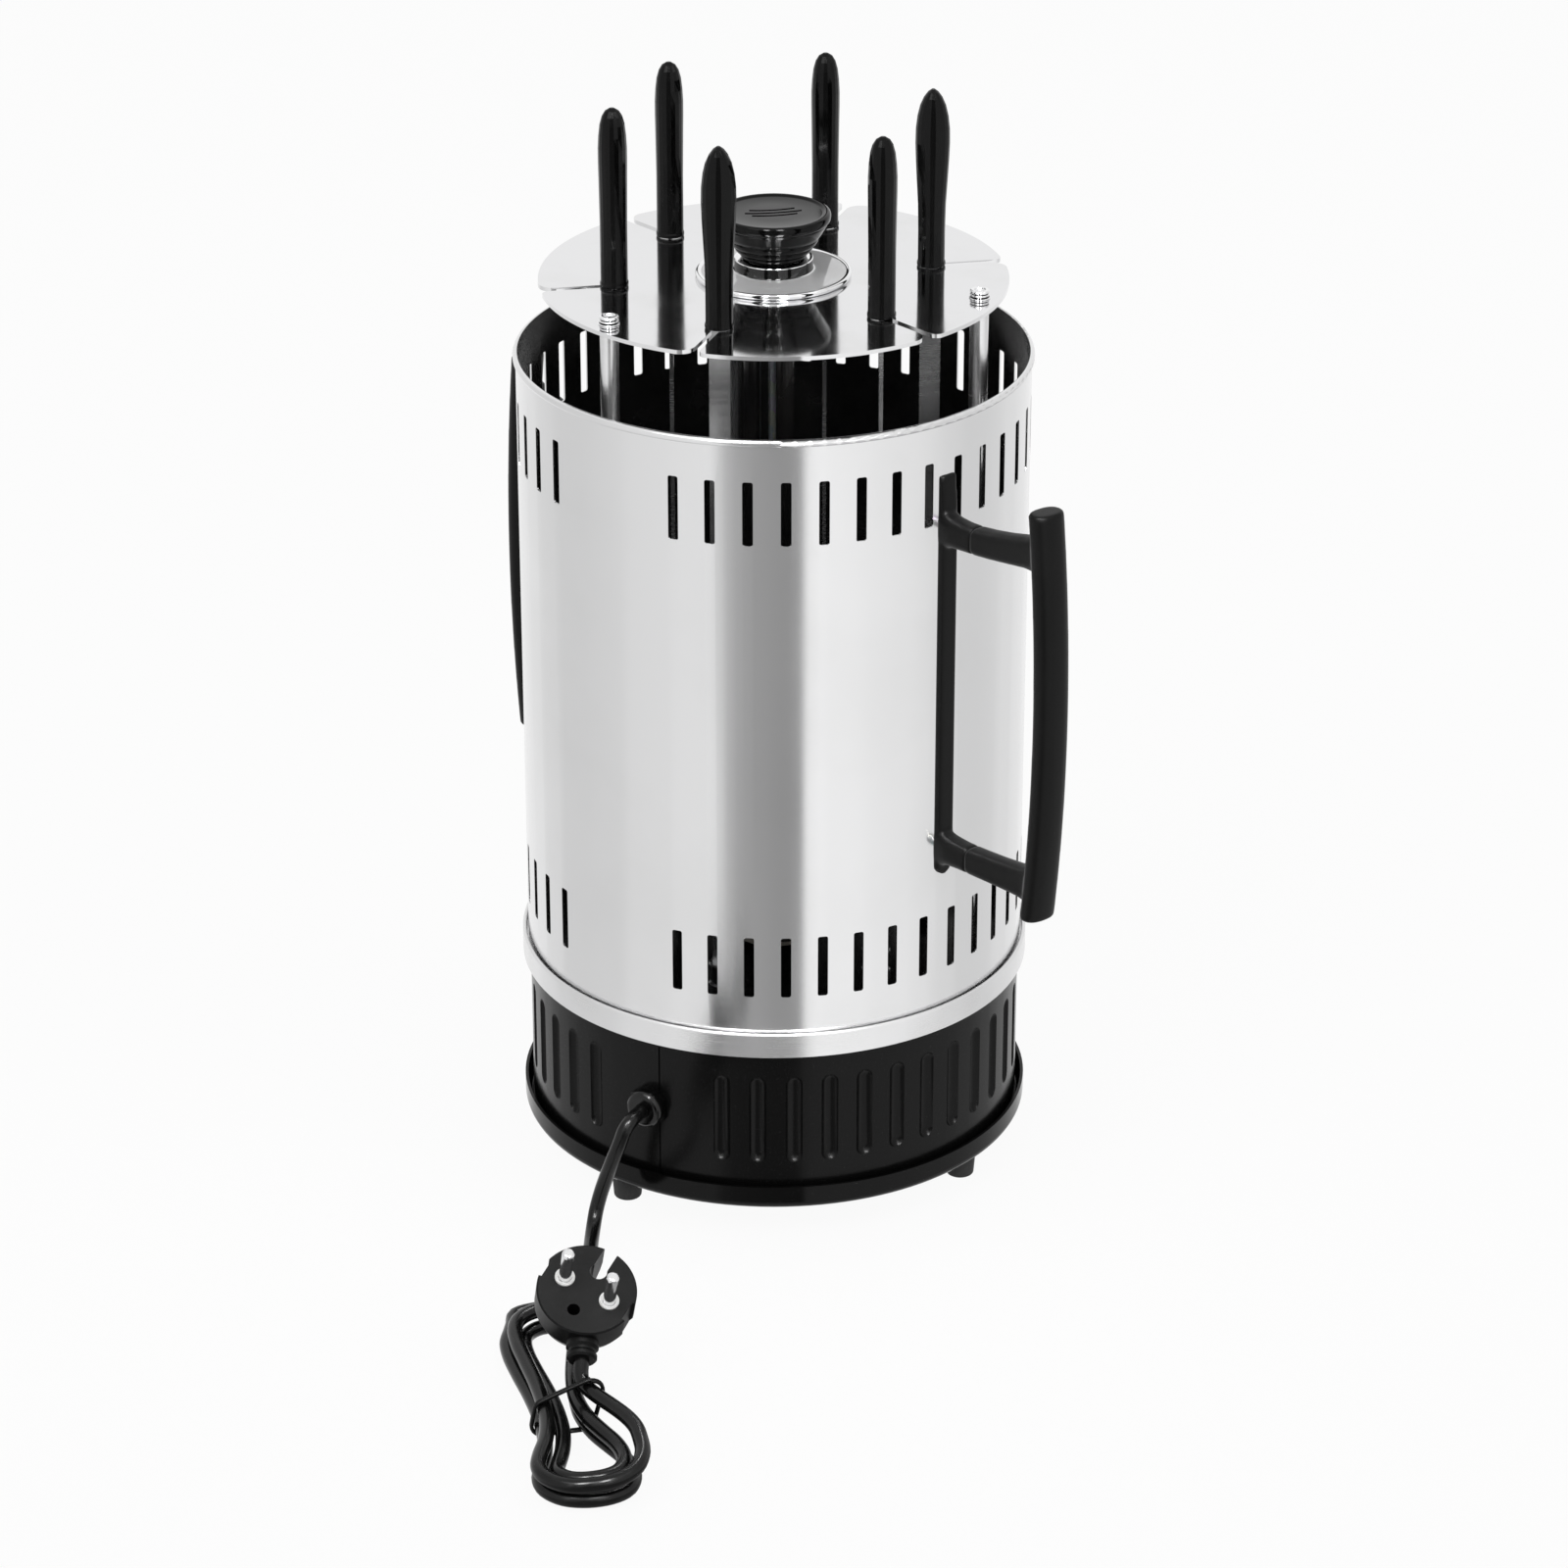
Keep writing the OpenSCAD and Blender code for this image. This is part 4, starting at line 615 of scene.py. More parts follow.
def sweepRecipe():
    recipe = Recipe("sweptRound", {"Radius": cordRoute["radius"] * mm, "Sides": cordRoute["sides"]})
    path = recipe.node("GeometryNodeMeshToCurve", {"Mesh": recipe.base})
    ring = recipe.node("GeometryNodeCurvePrimitiveCircle", {"Resolution": recipe.size("Sides"),
                                                                "Radius": recipe.size("Radius")})
    swept = recipe.node("GeometryNodeCurveToMesh", {
        "Curve": path, "Profile Curve": ring, "Fill Caps": True})
    recipe.finish(swept, finishes["cord_black"])
    return recipe


sweptRound = sweepRecipe()
mainsCord = sweptRound.make("mainsCord", chainMesh("cordChain", cordLine),
                            Radius=cordRoute["shown"] * mm, Sides=cordRoute["sides"])
print("cord", round(cordLength, 4), "m in", len(cordLine), "rings")

tieLook = {"wire": 0.75, "gap": 0.15, "across": [95, 268, 455, 628, 815], "over": (9.3, 17.3),
           "overMore": 0.5, "rounds": 2, "pitch": 1.7, "offFloor": 1.25, "clear": 0.02, "ring": 1.2,
           "sides": 10, "corners": 40}


def hullOf(points):
    # the taut line round a set of points
    points = sorted(points)
    whole = []
    for run in (points, points[::-1]):
        chain = []
        for p in run:
            while len(chain) > 1 and ((chain[-1][0] - chain[-2][0]) * (p[1] - chain[-2][1])
                                      - (chain[-1][1] - chain[-2][1]) * (p[0] - chain[-2][0])) <= 0:
                chain.pop()
            chain.append(p)
        whole += chain[:-1]
    return whole


def tieLine():
    reach = cordRoute["radius"] + tieLook["gap"] + tieLook["wire"]
    spots = [(hankSpot(a).x, hankSpot(a).z, reach) for a in tieLook["across"]]
    spots.append((*tieLook["over"], reach + tieLook["overMore"]))
    corners = tieLook["corners"]
    rim = hullOf([(x + r * math.cos(a), z + r * math.sin(a)) for x, z, r in spots
                  for a in (2 * math.pi * k / corners for k in range(corners))])
    return [p for p in rim if p[1] > tieLook["wire"] + tieLook["clear"]]      # nothing under the floor


def waistTie():
    rim = tieLine()
    top = max(range(len(rim)), key=lambda i: rim[i][1])
    rim = rim[top:] + rim[:top]
    low = tieLook["wire"] * tieLook["offFloor"]
    line = []
    total = len(rim) * tieLook["rounds"]
    for i in range(total + 1):
        x, z = rim[i % len(rim)]
        line.append(Vector((x, (i / total - 0.5) * -tieLook["pitch"], max(z, low))))
    line = [(hankPlace + turned(p, cordRoute["hankAngle"])) * mm for p in line]
    return smoothLine(line, tieLook["ring"] * mm)


tieRun = waistTie()
tieShape = sweptRound.make("waistTie", chainMesh("tieChain", tieRun),
                           Radius=tieLook["wire"] * mm, Sides=tieLook["sides"])
waistTieWire = onBody(tieShape, "stand", "black_plastic", "cord_tie")

onBody(mainsCord, "stand", "cord_black", "cord_lead", "cord_hank")
tuple(routePoints[0])
[tuple(p) for p in cordLine]
print("tie of", len(tieRun), "rings")


# casing handles: moulded mounts and grips, set out in distance from the axis, sideways and height;
# an arm's rows are its distance, half height and half width

handleLook = {
    "near": {"angle": -50.0, "middle": 232.3}, "far": {"angle": 130.6, "middle": 206.3}, "levels": 24,
    "wall": 100.15, "stripFoot": -84.0, "stripTop": 82.6, "stripHalf": 4.0, "stripShift": 0.45,
    "stripRound": 1.3, "roundShare": 0.6, "stripEdge": 1.0,
    "stripThick": [(-84, 2.6), (-78, 3.2), (-71.9, 3.6), (0, 3.5), (62, 3.5), (72, 3.0), (82.6, 2.3)],
    "root": 5.2, "gap": 133.4, "rise": {-1: 2.9, 1: 6.1}, "sag": {-1: 0.6, 1: 2.3},
    "sagSkew": 0.75, "armSquare": 3.2,
    "mountArm": [(100.4, 8.7, 3.9), (102.2, 8.1, 4.0), (104.2, 7.1, 4.2), (107, 6.1, 4.4), (111, 5.7, 4.5),
                 (114, 5.5, 4.5), (117, 5.45, 4.5), (118.98, 5.45, 4.5)],
    "gripArm": [(119.02, 5.45, 4.5), (122, 5.5, 4.5), (128, 5.6, 4.5), (136, 5.8, 4.5), (143, 6.1, 4.6),
                (148, 6.4, 4.7), (151.5, 7.1, 4.9), (155, 8.0, 5.4)],
    "grip": 156.0, "gripLow": -82.2, "gripHigh": 84.3, "gripBow": 5.0, "gripDeep": 4.9, "gripHalf": 7.3,
    "gripSquare": 2.35, "gripEdge": 1.0, "voxel": 0.75, "rounds": 5, "soften": 0.5,
}


def ovalRing(centre, first, second, a, b, square, count=28):
    ring = []
    for k in range(count):
        c, s = math.cos(2 * math.pi * k / count), math.sin(2 * math.pi * k / count)
        ring.append(centre + first * a * math.copysign(abs(c) ** (2 / square), c)
                    + second * b * math.copysign(abs(s) ** (2 / square), s))
    return ring


def between(table, x):
    # the value at x, on straight lines between the table's rows
    for (x0, y0), (x1, y1) in zip(table, table[1:]):
        if x <= x1:
            return y0 + (y1 - y0) * max(0, (x - x0) / (x1 - x0))
    return table[-1][1]


def moulded(name, shells, voxel, rounds):
    # one skin over all the shells, softened where they meet as a moulding is
    raw = placed(name + "Raw", loftedMesh(name + "Raw", shells))
    skin = raw.modifiers.new("skin", "REMESH")
    skin.mode, skin.voxel_size, skin.use_smooth_shade = "VOXEL", voxel, True
    soften = raw.modifiers.new("soften", "SMOOTH")
    soften.factor, soften.iterations = handleLook["soften"], rounds
    return pieceOf(name, plainMesh(raw))


def handleWays(side):
    a = math.radians(handleLook[side]["angle"])
    return Vector((math.cos(a), math.sin(a), 0)), Vector((-math.sin(a), math.cos(a), 0)), Vector((0, 0, 1))


def armHeight(side, end, r):
    h = handleLook
    along = (r - h["wall"]) / (h["grip"] - h["wall"])
    return (h[side]["middle"] - h["root"] + end * h["gap"] / 2 + h["rise"][end] * along
            - h["sag"][end] * math.sin(math.pi * max(0, along) ** h["sagSkew"]))


def armRings(side, end, places):
    out, across, up = handleWays(side)
    return [ovalRing((out * r + up * armHeight(side, end, r)) * mm, across, up, wide * mm, high * mm,
                     handleLook["armSquare"]) for r, high, wide in handleLook[places]]


def handleMount(side):
    h = handleLook
    out, across, up = handleWays(side)
    rings = []
    foot, top, wide = h["stripFoot"], h["stripTop"], h["stripHalf"]
    edge, count = h["stripEdge"], h["levels"]
    levels = arcPoints(foot + wide, 0, wide, 168, 90, 6)
    levels += [(foot + (top - foot) * i / count, wide) for i in range(1, count)]
    levels += arcPoints(top - edge, wide - edge, edge, 90, 0, 3)
    for z, half in levels:
        thick, r = between(h["stripThick"], z), min(h["stripRound"], half * h["roundShare"])
        front = h["wall"] + thick
        flat = [(h["wall"], -half), *arcPoints(front - r, r - half, r, -90, 0, 4),
                *arcPoints(front - r, half - r, r, 0, 90, 4), (h["wall"], half)]
        height = up * (h[side]["middle"] + z)
        rings.append([(out * x + across * (y + h["stripShift"]) + height) * mm for x, y in flat])
    return [rings] + [armRings(side, end, "mountArm") for end in (-1, 1)]


def handleGrip(side):
    h = handleLook
    out, across, up = handleWays(side)
    length = h["gripHigh"] - h["gripLow"]
    edge = arcPoints(h["gripEdge"], h["gripEdge"], h["gripEdge"], 180, 270, 3)
    levels = edge + [(length * i / h["levels"], 0) for i in range(1, h["levels"])]
    levels += [(length - rise, inset) for rise, inset in reversed(edge)]
    rings = []
    for z, inset in levels:
        r = h["grip"] + h["gripBow"] * (1 - (2 * z / length - 1) ** 2)
        rings.append(ovalRing((out * r + up * (h[side]["middle"] + h["gripLow"] + z)) * mm, out, across,
                              (h["gripDeep"] - inset) * mm, (h["gripHalf"] - inset) * mm, h["gripSquare"]))
    return [rings] + [armRings(side, end, "gripArm") for end in (-1, 1)]


for side, label in (("near", "Near"), ("far", "Far")):
    for part, shells in (("mount", handleMount(side)), ("grip", handleGrip(side))):
        skin = moulded(part + label, shells, handleLook["voxel"] * mm, handleLook["rounds"])
        moulding = onBody(skin, "casing_body", "black_plastic", f"handle_{part}_{side}")
        moulding.visible_glossy = False      # kept out of the steel's mirror rays
print("handles")


# small fasteners and the knob, set out by geometry trees

screwLook = {"wall": 98.9, "sides": 32, "head": 3.6, "high": 1.9, "seat": 0.3, "edge": 0.9,
             "dome": 1.1, "neck": 0.9, "shaft": 1.85, "length": 8.6,
             "thread": 0.8, "threadRoot": 0.86, "threadFlat": 0.1,
             "cross": 1.9, "crossWide": 0.62, "crossDeep": 0.9, "crossTaper": 0.8}


def crossHeadMesh():
    # a pan head with a cross recess and a ridged shaft, the head at the low end of its own Z axis
    s = screwLook
    root, flat, dome = s["shaft"] * s["threadRoot"], s["threadFlat"], s["dome"]
    ridges = []
    for i in range(int(s["length"] / s["thread"])):
        z = i * s["thread"]
        ridges += [(root, z + flat), (s["shaft"], z + s["thread"] / 2), (root, z + s["thread"] - flat)]
    body = [(0.0, s["length"]), *reversed(ridges), (s["shaft"] * s["neck"], -s["seat"]),
            (s["head"], -s["seat"]), (s["head"], -s["edge"])]
    body += arcPoints(s["head"] - dome, -s["edge"], dome, -18, -90, 4, s["high"] - s["edge"])
    made = bmesh.new()
    sides = s["sides"]
    rings = turnedRings(made, [(r * mm, z * mm) for r, z in body], sides)
    a, b = s["cross"], s["crossWide"] / 2
    plus = [(a, -b), (a, b), (b, b), (b, a), (-b, a), (-b, b),
            (-a, b), (-a, -b), (-b, -b), (-b, -a), (b, -a), (b, -b)]
    top, taper = -s["high"], s["crossTaper"]
    mouth = [made.verts.new((x * mm, y * mm, top * mm)) for x, y in plus]
    floor = [made.verts.new((x * taper * mm, y * taper * mm, (top + s["crossDeep"]) * mm)) for x, y in plus]
    edges = []
    for k in range(len(plus)):
        n = (k + 1) % len(plus)
        made.faces.new((mouth[k], mouth[n], floor[n], floor[k]))
        edges.append(made.edges.get((mouth[k], mouth[n])))
    made.faces.new(floor)
    last = rings[-1]
    edges += [made.edges.get((last[k], last[(k + 1) % sides])) for k in range(sides)]
    bmesh.ops.triangle_fill(made, use_beauty=True, edges=edges)
    return meshFrom(made, "crossHead")


def screwRowRecipe():
    # two screws behind each handle, at the roots of its arms
    h = handleLook
    sizes = {"Gap": h["gap"] * mm, "Wall": screwLook["wall"] * mm}
    for side in ("Near", "Far"):
        place = h[side.lower()]
        sizes[side + " Angle"] = place["angle"]
        sizes[side + " Height"] = (place["middle"] - h["root"] - h["gap"] / 2) * mm
    recipe = Recipe("screwRows", sizes)
    rows = []
    for side in ("Near", "Far"):
        row = recipe.node("GeometryNodeMeshLine", {
            "Count": 2, "Offset": recipe.vector(z=recipe.size("Gap")),
            "Start Location": recipe.vector(recipe.size("Wall"), 0.0, recipe.size(side + " Height"))})
        laid = recipe.node("GeometryNodeInstanceOnPoints", {"Points": row, "Instance": recipe.base,
                                                                "Rotation": (0.0, math.pi / 2, 0.0)})
        turn = recipe.sum("RADIANS", recipe.size(side + " Angle"))
        rows.append(recipe.moved(laid, turn=recipe.vector(z=turn)))
    recipe.finish(recipe.node("GeometryNodeJoinGeometry", {"Geometry": rows}), finishes["zinc_steel"])
    return recipe


onBody(screwRowRecipe().make("handleScrews", crossHeadMesh()), "casing_body", "zinc_steel", "handle_screws")

capLook = {"count": 3, "angle": 101.7, "reach": 82.5, "discTop": 366.2, "sides": 48, "height": 3.5,
           "stud": 1.9, "studDown": 9.6, "seat": 0.02, "washer": 4.05, "washerEdge": (0.3, 0.28),
           "neck": 2.9, "grooves": [(0.62, 0.98), (1.96, 2.24)], "barrel": 3.75, "bead": (1.46, 0.48, 0.46),
           "shoulder": (2.66, 0.4), "dome": 0.8, "hollow": 2.1, "lip": 0.25,
           "cup": [(1, 0.95), (0.75, 0.8), (0.4, 0.65), (0, 0.6)], "bands": [(0.58, 1.04), (1.9, 2.3)]}


def capProfile():
    # stud, washer, a beaded barrel between two grooves, and a hollow top
    c = capLook
    barrel, height, lip, dome = c["barrel"], c["height"], c["lip"], c["dome"]
    lowGroove, highGroove = ([(c["neck"], z) for z in groove] for groove in c["grooves"])
    edgeHeight, edge = c["washerEdge"]
    beadHeight, beadInset, bead = c["bead"]
    shoulderHeight, shoulder = c["shoulder"]
    points = [(0, -c["studDown"]), (c["stud"], -c["studDown"]), (c["stud"], c["seat"]),
              (c["washer"] - lip, c["seat"])]
    points += arcPoints(c["washer"] - edge, edgeHeight, edge, -60, 90, 5) + lowGroove
    points += arcPoints(barrel - beadInset, beadHeight, bead, -85, 85, 7) + highGroove
    points += arcPoints(barrel - shoulder, shoulderHeight, shoulder, -85, 0, 4)
    points += arcPoints(barrel - dome, height - dome, dome, 8, 90, 6)
    points += [(c["hollow"] + lip, height), (c["hollow"], height - lip)]
    points += [(c["hollow"] * share, height - down) for share, down in c["cup"]]
    return [(r * mm, z * mm) for r, z in points]


def capRecipe():
    c = capLook
    recipe = Recipe("postCaps", {"Count": c["count"], "Reach": c["reach"] * mm, "Angle": c["angle"],
                                 "Height": c["discTop"] * mm})
    ring = recipe.node("GeometryNodeMeshCircle", {
        "Vertices": recipe.size("Count"), "Radius": recipe.size("Reach")})
    laid = recipe.node("GeometryNodeInstanceOnPoints", {"Points": ring, "Instance": recipe.base})
    turn = recipe.vector(z=recipe.sum("RADIANS", recipe.size("Angle")))
    lifted = recipe.moved(laid, recipe.vector(z=recipe.size("Height")), turn)
    recipe.finish(lifted, finishes["chrome"])
    return recipe


capShape = turnedMesh("postCap", capProfile(), capLook["sides"])
# the caps' grooves are painted dark: painted shade in the grooves
onBody(capRecipe().make("postCaps", capShape), "stand", "chrome", "post_nuts",
       finish=chrome("capChrome", roughness=0.06, shade=0.03,
                     shaded=lambda f: heightBands(f, capLook["discTop"], capLook["bands"])))
print("screws and post caps")

knobLook = {"foot": 373.85, "footInset": 0.4, "sides": 96, "top": 17.6, "turn": 190.0,
            "ribs": 3, "ribGap": 3.2,
            "ribCurve": 52.0, "ribHalf": 11.0, "ribShorter": 0.2, "ribWidth": 1.1, "ribSunk": 0.25,
            "ribSteps": 20, "rings": [(11.6, 0.0, 13.3, 2.1), (13.8, 2.5, 15.4, 4.9), (15.8, 5.3, 17.5, 8.1)],
            "bulge": 0.35, "ringSteps": 6, "groove": (0.1, 0.12, 0.3),
            "bowl": [(17.9, 8.55), (18.9, 10.3), (19.9, 12.1), (20.7, 13.5), (21.0, 14.1), (20.95, 14.4),
                     (21.4, 14.65), (21.8, 15.2), (22.0, 16.2), (22.0, 17.0), (21.85, 17.6), (21.5, 18.05),
                     (20.9, 18.35), (20.2, 18.4), (19.7, 18.2), (19.45, 17.95), (19.2, 17.72), (18.6, 17.6),
                     (10, 17.62), (0, 17.65)]}


def knobProfile():
    # bulging rings with grooves between them, then the bowl up to its lip and top
    k = knobLook
    inset, lower, upper = k["groove"]
    points = [(0, 0), (k["rings"][0][0] - k["footInset"], 0)]
    for r0, z0, r1, z1 in k["rings"]:
        length = math.hypot(r1 - r0, z1 - z0)
        for i in range(k["ringSteps"] + 1):
            t = i / k["ringSteps"]
            out = k["bulge"] * math.sin(math.pi * t)
            points.append((r0 + (r1 - r0) * t + out * (z1 - z0) / length,
                           z0 + (z1 - z0) * t - out * (r1 - r0) / length))
        points += [(r1 - inset, z1 + lower), (r1 - inset, z1 + upper)]
    return [(r * mm, max(z, 0) * mm) for r, z in points + k["bowl"]]


def knobRecipe():
    k = knobLook
    recipe = Recipe("ribbedKnob", {"Ribs": k["ribs"], "Gap": k["ribGap"] * mm, "Curve": k["ribCurve"] * mm,
                                   "Half Length": k["ribHalf"] * mm, "Rib Width": k["ribWidth"] * mm,
                                   "Sunk": k["ribSunk"] * mm, "Turn": k["turn"],
                                   "Shorter": k["ribShorter"], "Top": k["top"] * mm,
                                   "Foot": k["foot"] * mm})
    size, sums = recipe.size, recipe.sum
    sweep = sums("DIVIDE", size("Half Length"), size("Curve"))
    first = sums("SUBTRACT", math.pi / 2, sweep)
    line = recipe.node("GeometryNodeCurveArc", {
        "Resolution": k["ribSteps"], "Radius": size("Curve"), "Start Angle": first,
        "Sweep Angle": sums("MULTIPLY", sweep, 2.0)}, mode="RADIUS")
    bar = recipe.node("GeometryNodeCurvePrimitiveQuadrilateral", {
        "Width": size("Rib Width"), "Height": size("Rib Width")})
    rib = recipe.node("GeometryNodeCurveToMesh", {
        "Curve": line, "Profile Curve": bar, "Fill Caps": True})
    # the ribs keep their sharp edges
    rib = recipe.node("GeometryNodeSetShadeSmooth", {"Geometry": rib, "Shade Smooth": False}, domain="EDGE")
    rib = recipe.moved(rib, recipe.vector(y=sums("MULTIPLY", size("Curve"), -1.0)))
    half = sums("MULTIPLY", sums("SUBTRACT", size("Ribs"), 1.0), -0.5)
    away = sums("ABSOLUTE", sums("ADD", recipe.node("GeometryNodeInputIndex"), half))
    # the ribs grow shorter away from the middle one
    share = sums("SUBTRACT", 1.0, sums("MULTIPLY", away, size("Shorter")))
    places = recipe.node("GeometryNodeMeshLine", {
        "Count": size("Ribs"), "Offset": recipe.vector(y=size("Gap")),
        "Start Location": recipe.vector(0.0, sums("MULTIPLY", half, size("Gap")),
                                        sums("SUBTRACT", size("Top"), size("Sunk")))})
    ribs = recipe.node("GeometryNodeInstanceOnPoints", {
        "Points": places, "Instance": rib, "Scale": recipe.vector(share, 1.0, 1.0)})
    turn = recipe.vector(z=sums("RADIANS", size("Turn")))
    both = recipe.node("GeometryNodeJoinGeometry", {
        "Geometry": [recipe.base, recipe.moved(ribs, turn=turn)]})
    lifted = recipe.moved(both, recipe.vector(z=size("Foot")))
    recipe.finish(lifted, finishes["gloss_black_plastic"])
    return recipe


knobShape = turnedMesh("knobTurned", knobProfile(), knobLook["sides"])
onBody(knobRecipe().make("ribbedKnob", knobShape), "stand", "gloss_black_plastic", "knob")

dishLook = {"foot": 366.22, "bore": 2.1, "sides": 128, "inset": 1.6, "rim": (29.05, 1.15), "rollWide": 1.0,
            "rollHigh": 1.15, "floor": (1.95, 3.1), "boss": 15.2, "bossTop": 7.58, "bossEdge": 0.4,
            "bossDown": 0.45, "boreDown": 0.2,
            # steps out and up, from the rim's middle and the low floor, and from the boss and the high one
            "flangeSteps": [(-0.95, 0.05), (-1.3, 0), (-2.3, 0.12), (-7, 0.7)],
            "bossSteps": [(3, -0.12), (1.2, 0), (0.5, 0.15), (0.1, 0.4), (0, 0.8)],
            "sideDark": (3.35, 7.2), "sideBand": (-0.25, 0.3), "flange": (15.7, 27.9)}


def dishProfile():
    d = dishLook
    x, z = d["rim"]
    low, high = d["floor"]
    edge, top = d["bossEdge"], d["bossTop"]
    points = [(d["bore"], 0), (x - d["inset"], 0),
              *arcPoints(x, z, d["rollWide"], -90, 130, 11, d["rollHigh"])]
    points += [(x + across, low + up) for across, up in d["flangeSteps"]]
    points += [(d["boss"] + across, high + up) for across, up in d["bossSteps"]]
    points += [(d["boss"], top - d["bossDown"]), *arcPoints(d["boss"] - edge, top - edge, edge, 10, 90, 4)]
    points += [(d["boss"] - d["inset"], top), (d["bore"], top - d["boreDown"])]
    return [(r * mm, z * mm) for r, z in points]


def bossSide(f):
    d = dishLook
    inner, outer = d["sideBand"]
    return ringBand(f, d["boss"] + inner, d["boss"] + outer) * heightBands(f, d["foot"], [d["sideDark"]])


def dishFlange(f):
    # the flange's soft finish, paler than a mirror
    return ringBand(f, *dishLook["flange"])


dishMesh = turnedMesh("dishTurned", dishProfile(), dishLook["sides"], closed=True)
dishMesh.transform(Matrix.Translation((0, 0, dishLook["foot"] * mm)))
onBody(pieceOf("knobDish", dishMesh), "stand", "chrome", "knob_dish",
       finish=chrome("dishChrome", roughness=0.03, shaded=bossSide, metal=0.0, pale=dishFlange))
print("knob and dish")


# floor, backdrop, light and camera

studio = {"floor": 0.86, "floorHalf": 8, "floorWhite": 0.94, "fill": 0.5}


def facesMesh(name, corners, faces, material):
    mesh = bpy.data.meshes.new(name)
    mesh.from_pydata(corners, [], faces)
    mesh.materials.append(material)
    return mesh


def lightPath(tree):
    # 1 for camera, mirror and glass rays, which see the plain white
    rays = tree.nodes.new("ShaderNodeLightPath").outputs
    seen = rays["Is Camera Ray"]
    for ray in ("Is Glossy Ray", "Is Transmission Ray"):
        seen = addNode(tree, "ShaderNodeMath", {0: seen, 1: rays[ray]}, operation="MAXIMUM")
    return seen


def floorMaterial():
    f = Finish("paleFloor")
    level = studio["floor"]
    f.use(color=f.mix(f.noise(3.0, 3.0), grey(level), grey(level * 0.99)), roughness=0.9, specular=0.0)
    white = addNode(f.tree, "ShaderNodeEmission")
    share = addNode(f.tree, "ShaderNodeMath", {0: lightPath(f.tree), 1: studio["floorWhite"]},
                    operation="MULTIPLY")
    blend = addNode(f.tree, "ShaderNodeMixShader", {0: share, 1: f.surface.outputs[0], 2: white})
    f.tree.links.new(blend, f.output.inputs["Surface"])
    return f.material


def boardMaterial():
    f = Finish("shadedBoard")
    shade = f.node("ShaderNodeAttribute", output="Color", attribute_name="shade")
    return f.use(color=grey(0.0), glow=shade, glowStrength=1.0, roughness=1.0, specular=0.0)


half = studio["floorHalf"]
corners = [(-half, -half, 0), (half, -half, 0), (half, half, 0), (-half, half, 0)]
placed("floor", facesMesh("floor", corners, [(0, 1, 2, 3)], floorMaterial()))

# sides of the casing in degrees, and the tone that each shows
boards = {
    "darkBoard": {-103.5: 0.95, -101.2: 0.55, -98.5: 0.42, -95: 0.38, -91: 0.33, -83.3: 0.28},
    "brightBoard": {-83.3: 1.14, -78: 1.1, -66: 1.04, -56: 0.98},
    "leftBoard": {-166: 0.98, -156: 0.89, -147: 0.8, -136: 0.81, -125: 0.9, -113: 0.95, -105: 0.95},
    "rightBoard": {-56: 0.98, -50: 0.88, -43: 0.81, -36: 0.81, -29: 0.89, -21: 0.93, -12: 0.98},
}
boardFinish = boardMaterial()
mirrorOf = {"radius": 0.1, "near": 0.02, "reach": 1.3, "tall": 1.6, "lift": 0.0006}


def reflectedLine(angle, away):
    # where the camera's view of this side of the casing is thrown back to, seen from above
    a = math.radians(angle)
    b = 2 * a + math.pi / 2
    return (mirrorOf["radius"] * math.cos(a) + away * math.cos(b),
            mirrorOf["radius"] * math.sin(a) + away * math.sin(b))


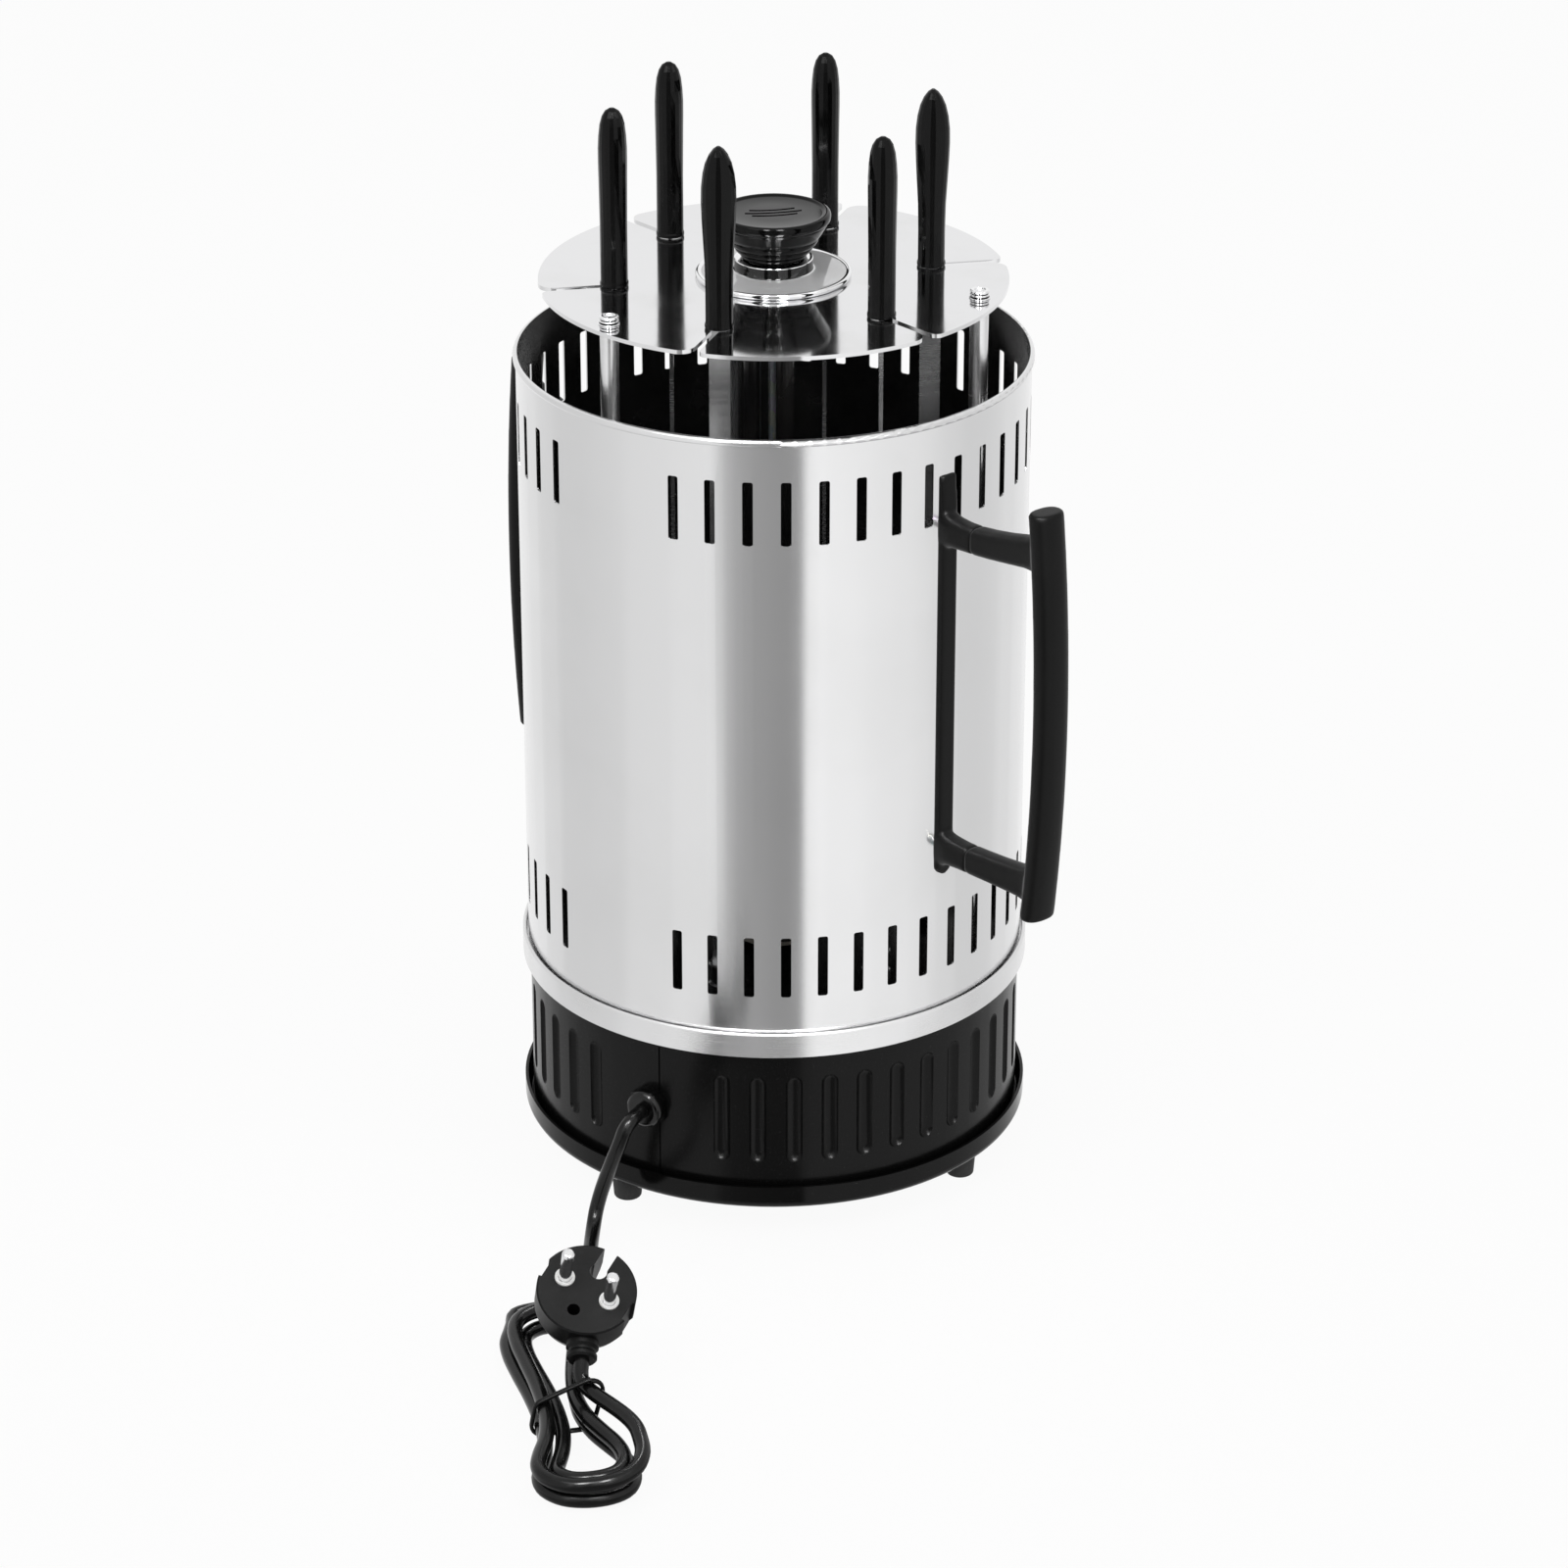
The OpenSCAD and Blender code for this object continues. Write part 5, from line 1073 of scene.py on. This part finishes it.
def board(name, sides):
    # a shaded board on the floor and up the wall, that only shows as a reflection in the steel
    angles, shades = list(sides), list(sides.values())
    corners, faces, tones, lift = [], [], [], mirrorOf["lift"]
    for angle in angles:
        near, far = reflectedLine(angle, mirrorOf["near"]), reflectedLine(angle, mirrorOf["reach"])
        corners += [(*near, lift), (*far, lift), (*far, mirrorOf["tall"])]
    for i in range(len(angles) - 1):
        for k in (0, 1):
            a, b = 3 * i + k, 3 * (i + 1) + k
            faces.append((a, a + 1, b + 1, b))
            tones += [shades[i], shades[i], shades[i + 1], shades[i + 1]]
    mesh = facesMesh(name, corners, faces, boardFinish)
    layer = mesh.color_attributes.new("shade", "FLOAT_COLOR", "CORNER")
    for i, tone in enumerate(tones):
        layer.data[i].color = grey(tone)
    made = placed(name, mesh)
    made.visible_camera = made.visible_diffuse = made.visible_shadow = made.visible_transmission = False


for name, sides in boards.items():
    board(name, sides)

strip = {"aim": (0, 0, 0.4), "size": (0.36, 2.0), "power": 90.0, "shineOnly": True}
lamps = {
    "keyLamp": {"place": (-1.3, -1.5, 2.3), "aim": (0, 0, 0.2), "size": (1.6, 1.6), "power": 17.0},
    "fillLamp": {"place": (1.9, -0.9, 1.7), "aim": (0, 0, 0.2), "size": (1.2, 1.6), "power": 8.0},
    "leftStrip": {"place": (-0.55, -1.6, 1.8), **strip},
    "rightStrip": {"place": (0.5, -1.6, 1.8), **strip},
}


def areaLamp(name, place, aim, size, power, shineOnly=False):
    light = bpy.data.lights.new(name, "AREA")
    light.shape = "RECTANGLE"
    light.size, light.size_y = size
    light.energy = power
    lamp = placed(name, light)
    lamp.location = place
    lamp.rotation_euler = (Vector(aim) - Vector(place)).to_track_quat("-Z", "Y").to_euler()
    lamp.visible_diffuse = not shineOnly      # a highlight lamp adds nothing to matt surfaces


for name, lamp in lamps.items():
    areaLamp(name, **lamp)

world = bpy.data.worlds.new("studioWorld")
bpy.context.scene.world = world
world.use_nodes = True
sky = world.node_tree
sky.nodes.clear()
soft, plain = (addNode(sky, "ShaderNodeBackground", {"Color": grey(1.0), "Strength": strength})
               for strength in (studio["fill"], 1.0))
blendSky = addNode(sky, "ShaderNodeMixShader", {0: lightPath(sky), 1: soft, 2: plain})
sky.links.new(blendSky, sky.nodes.new("ShaderNodeOutputWorld").inputs["Surface"])

cameraLook = {"place": (0.00399, -1.84665, 1.01591), "tilt": 64.88, "lens": 116.305, "sensor": 36.0}
lens = bpy.data.cameras.new("photoCamera")
lens.lens = cameraLook["lens"]
lens.sensor_width = cameraLook["sensor"]
camera = placed("photoCamera", lens)
camera.location = cameraLook["place"]
camera.rotation_euler = (math.radians(cameraLook["tilt"]), 0, 0)
bpy.context.scene.camera = camera
bpy.context.scene.view_settings.view_transform = "Standard"
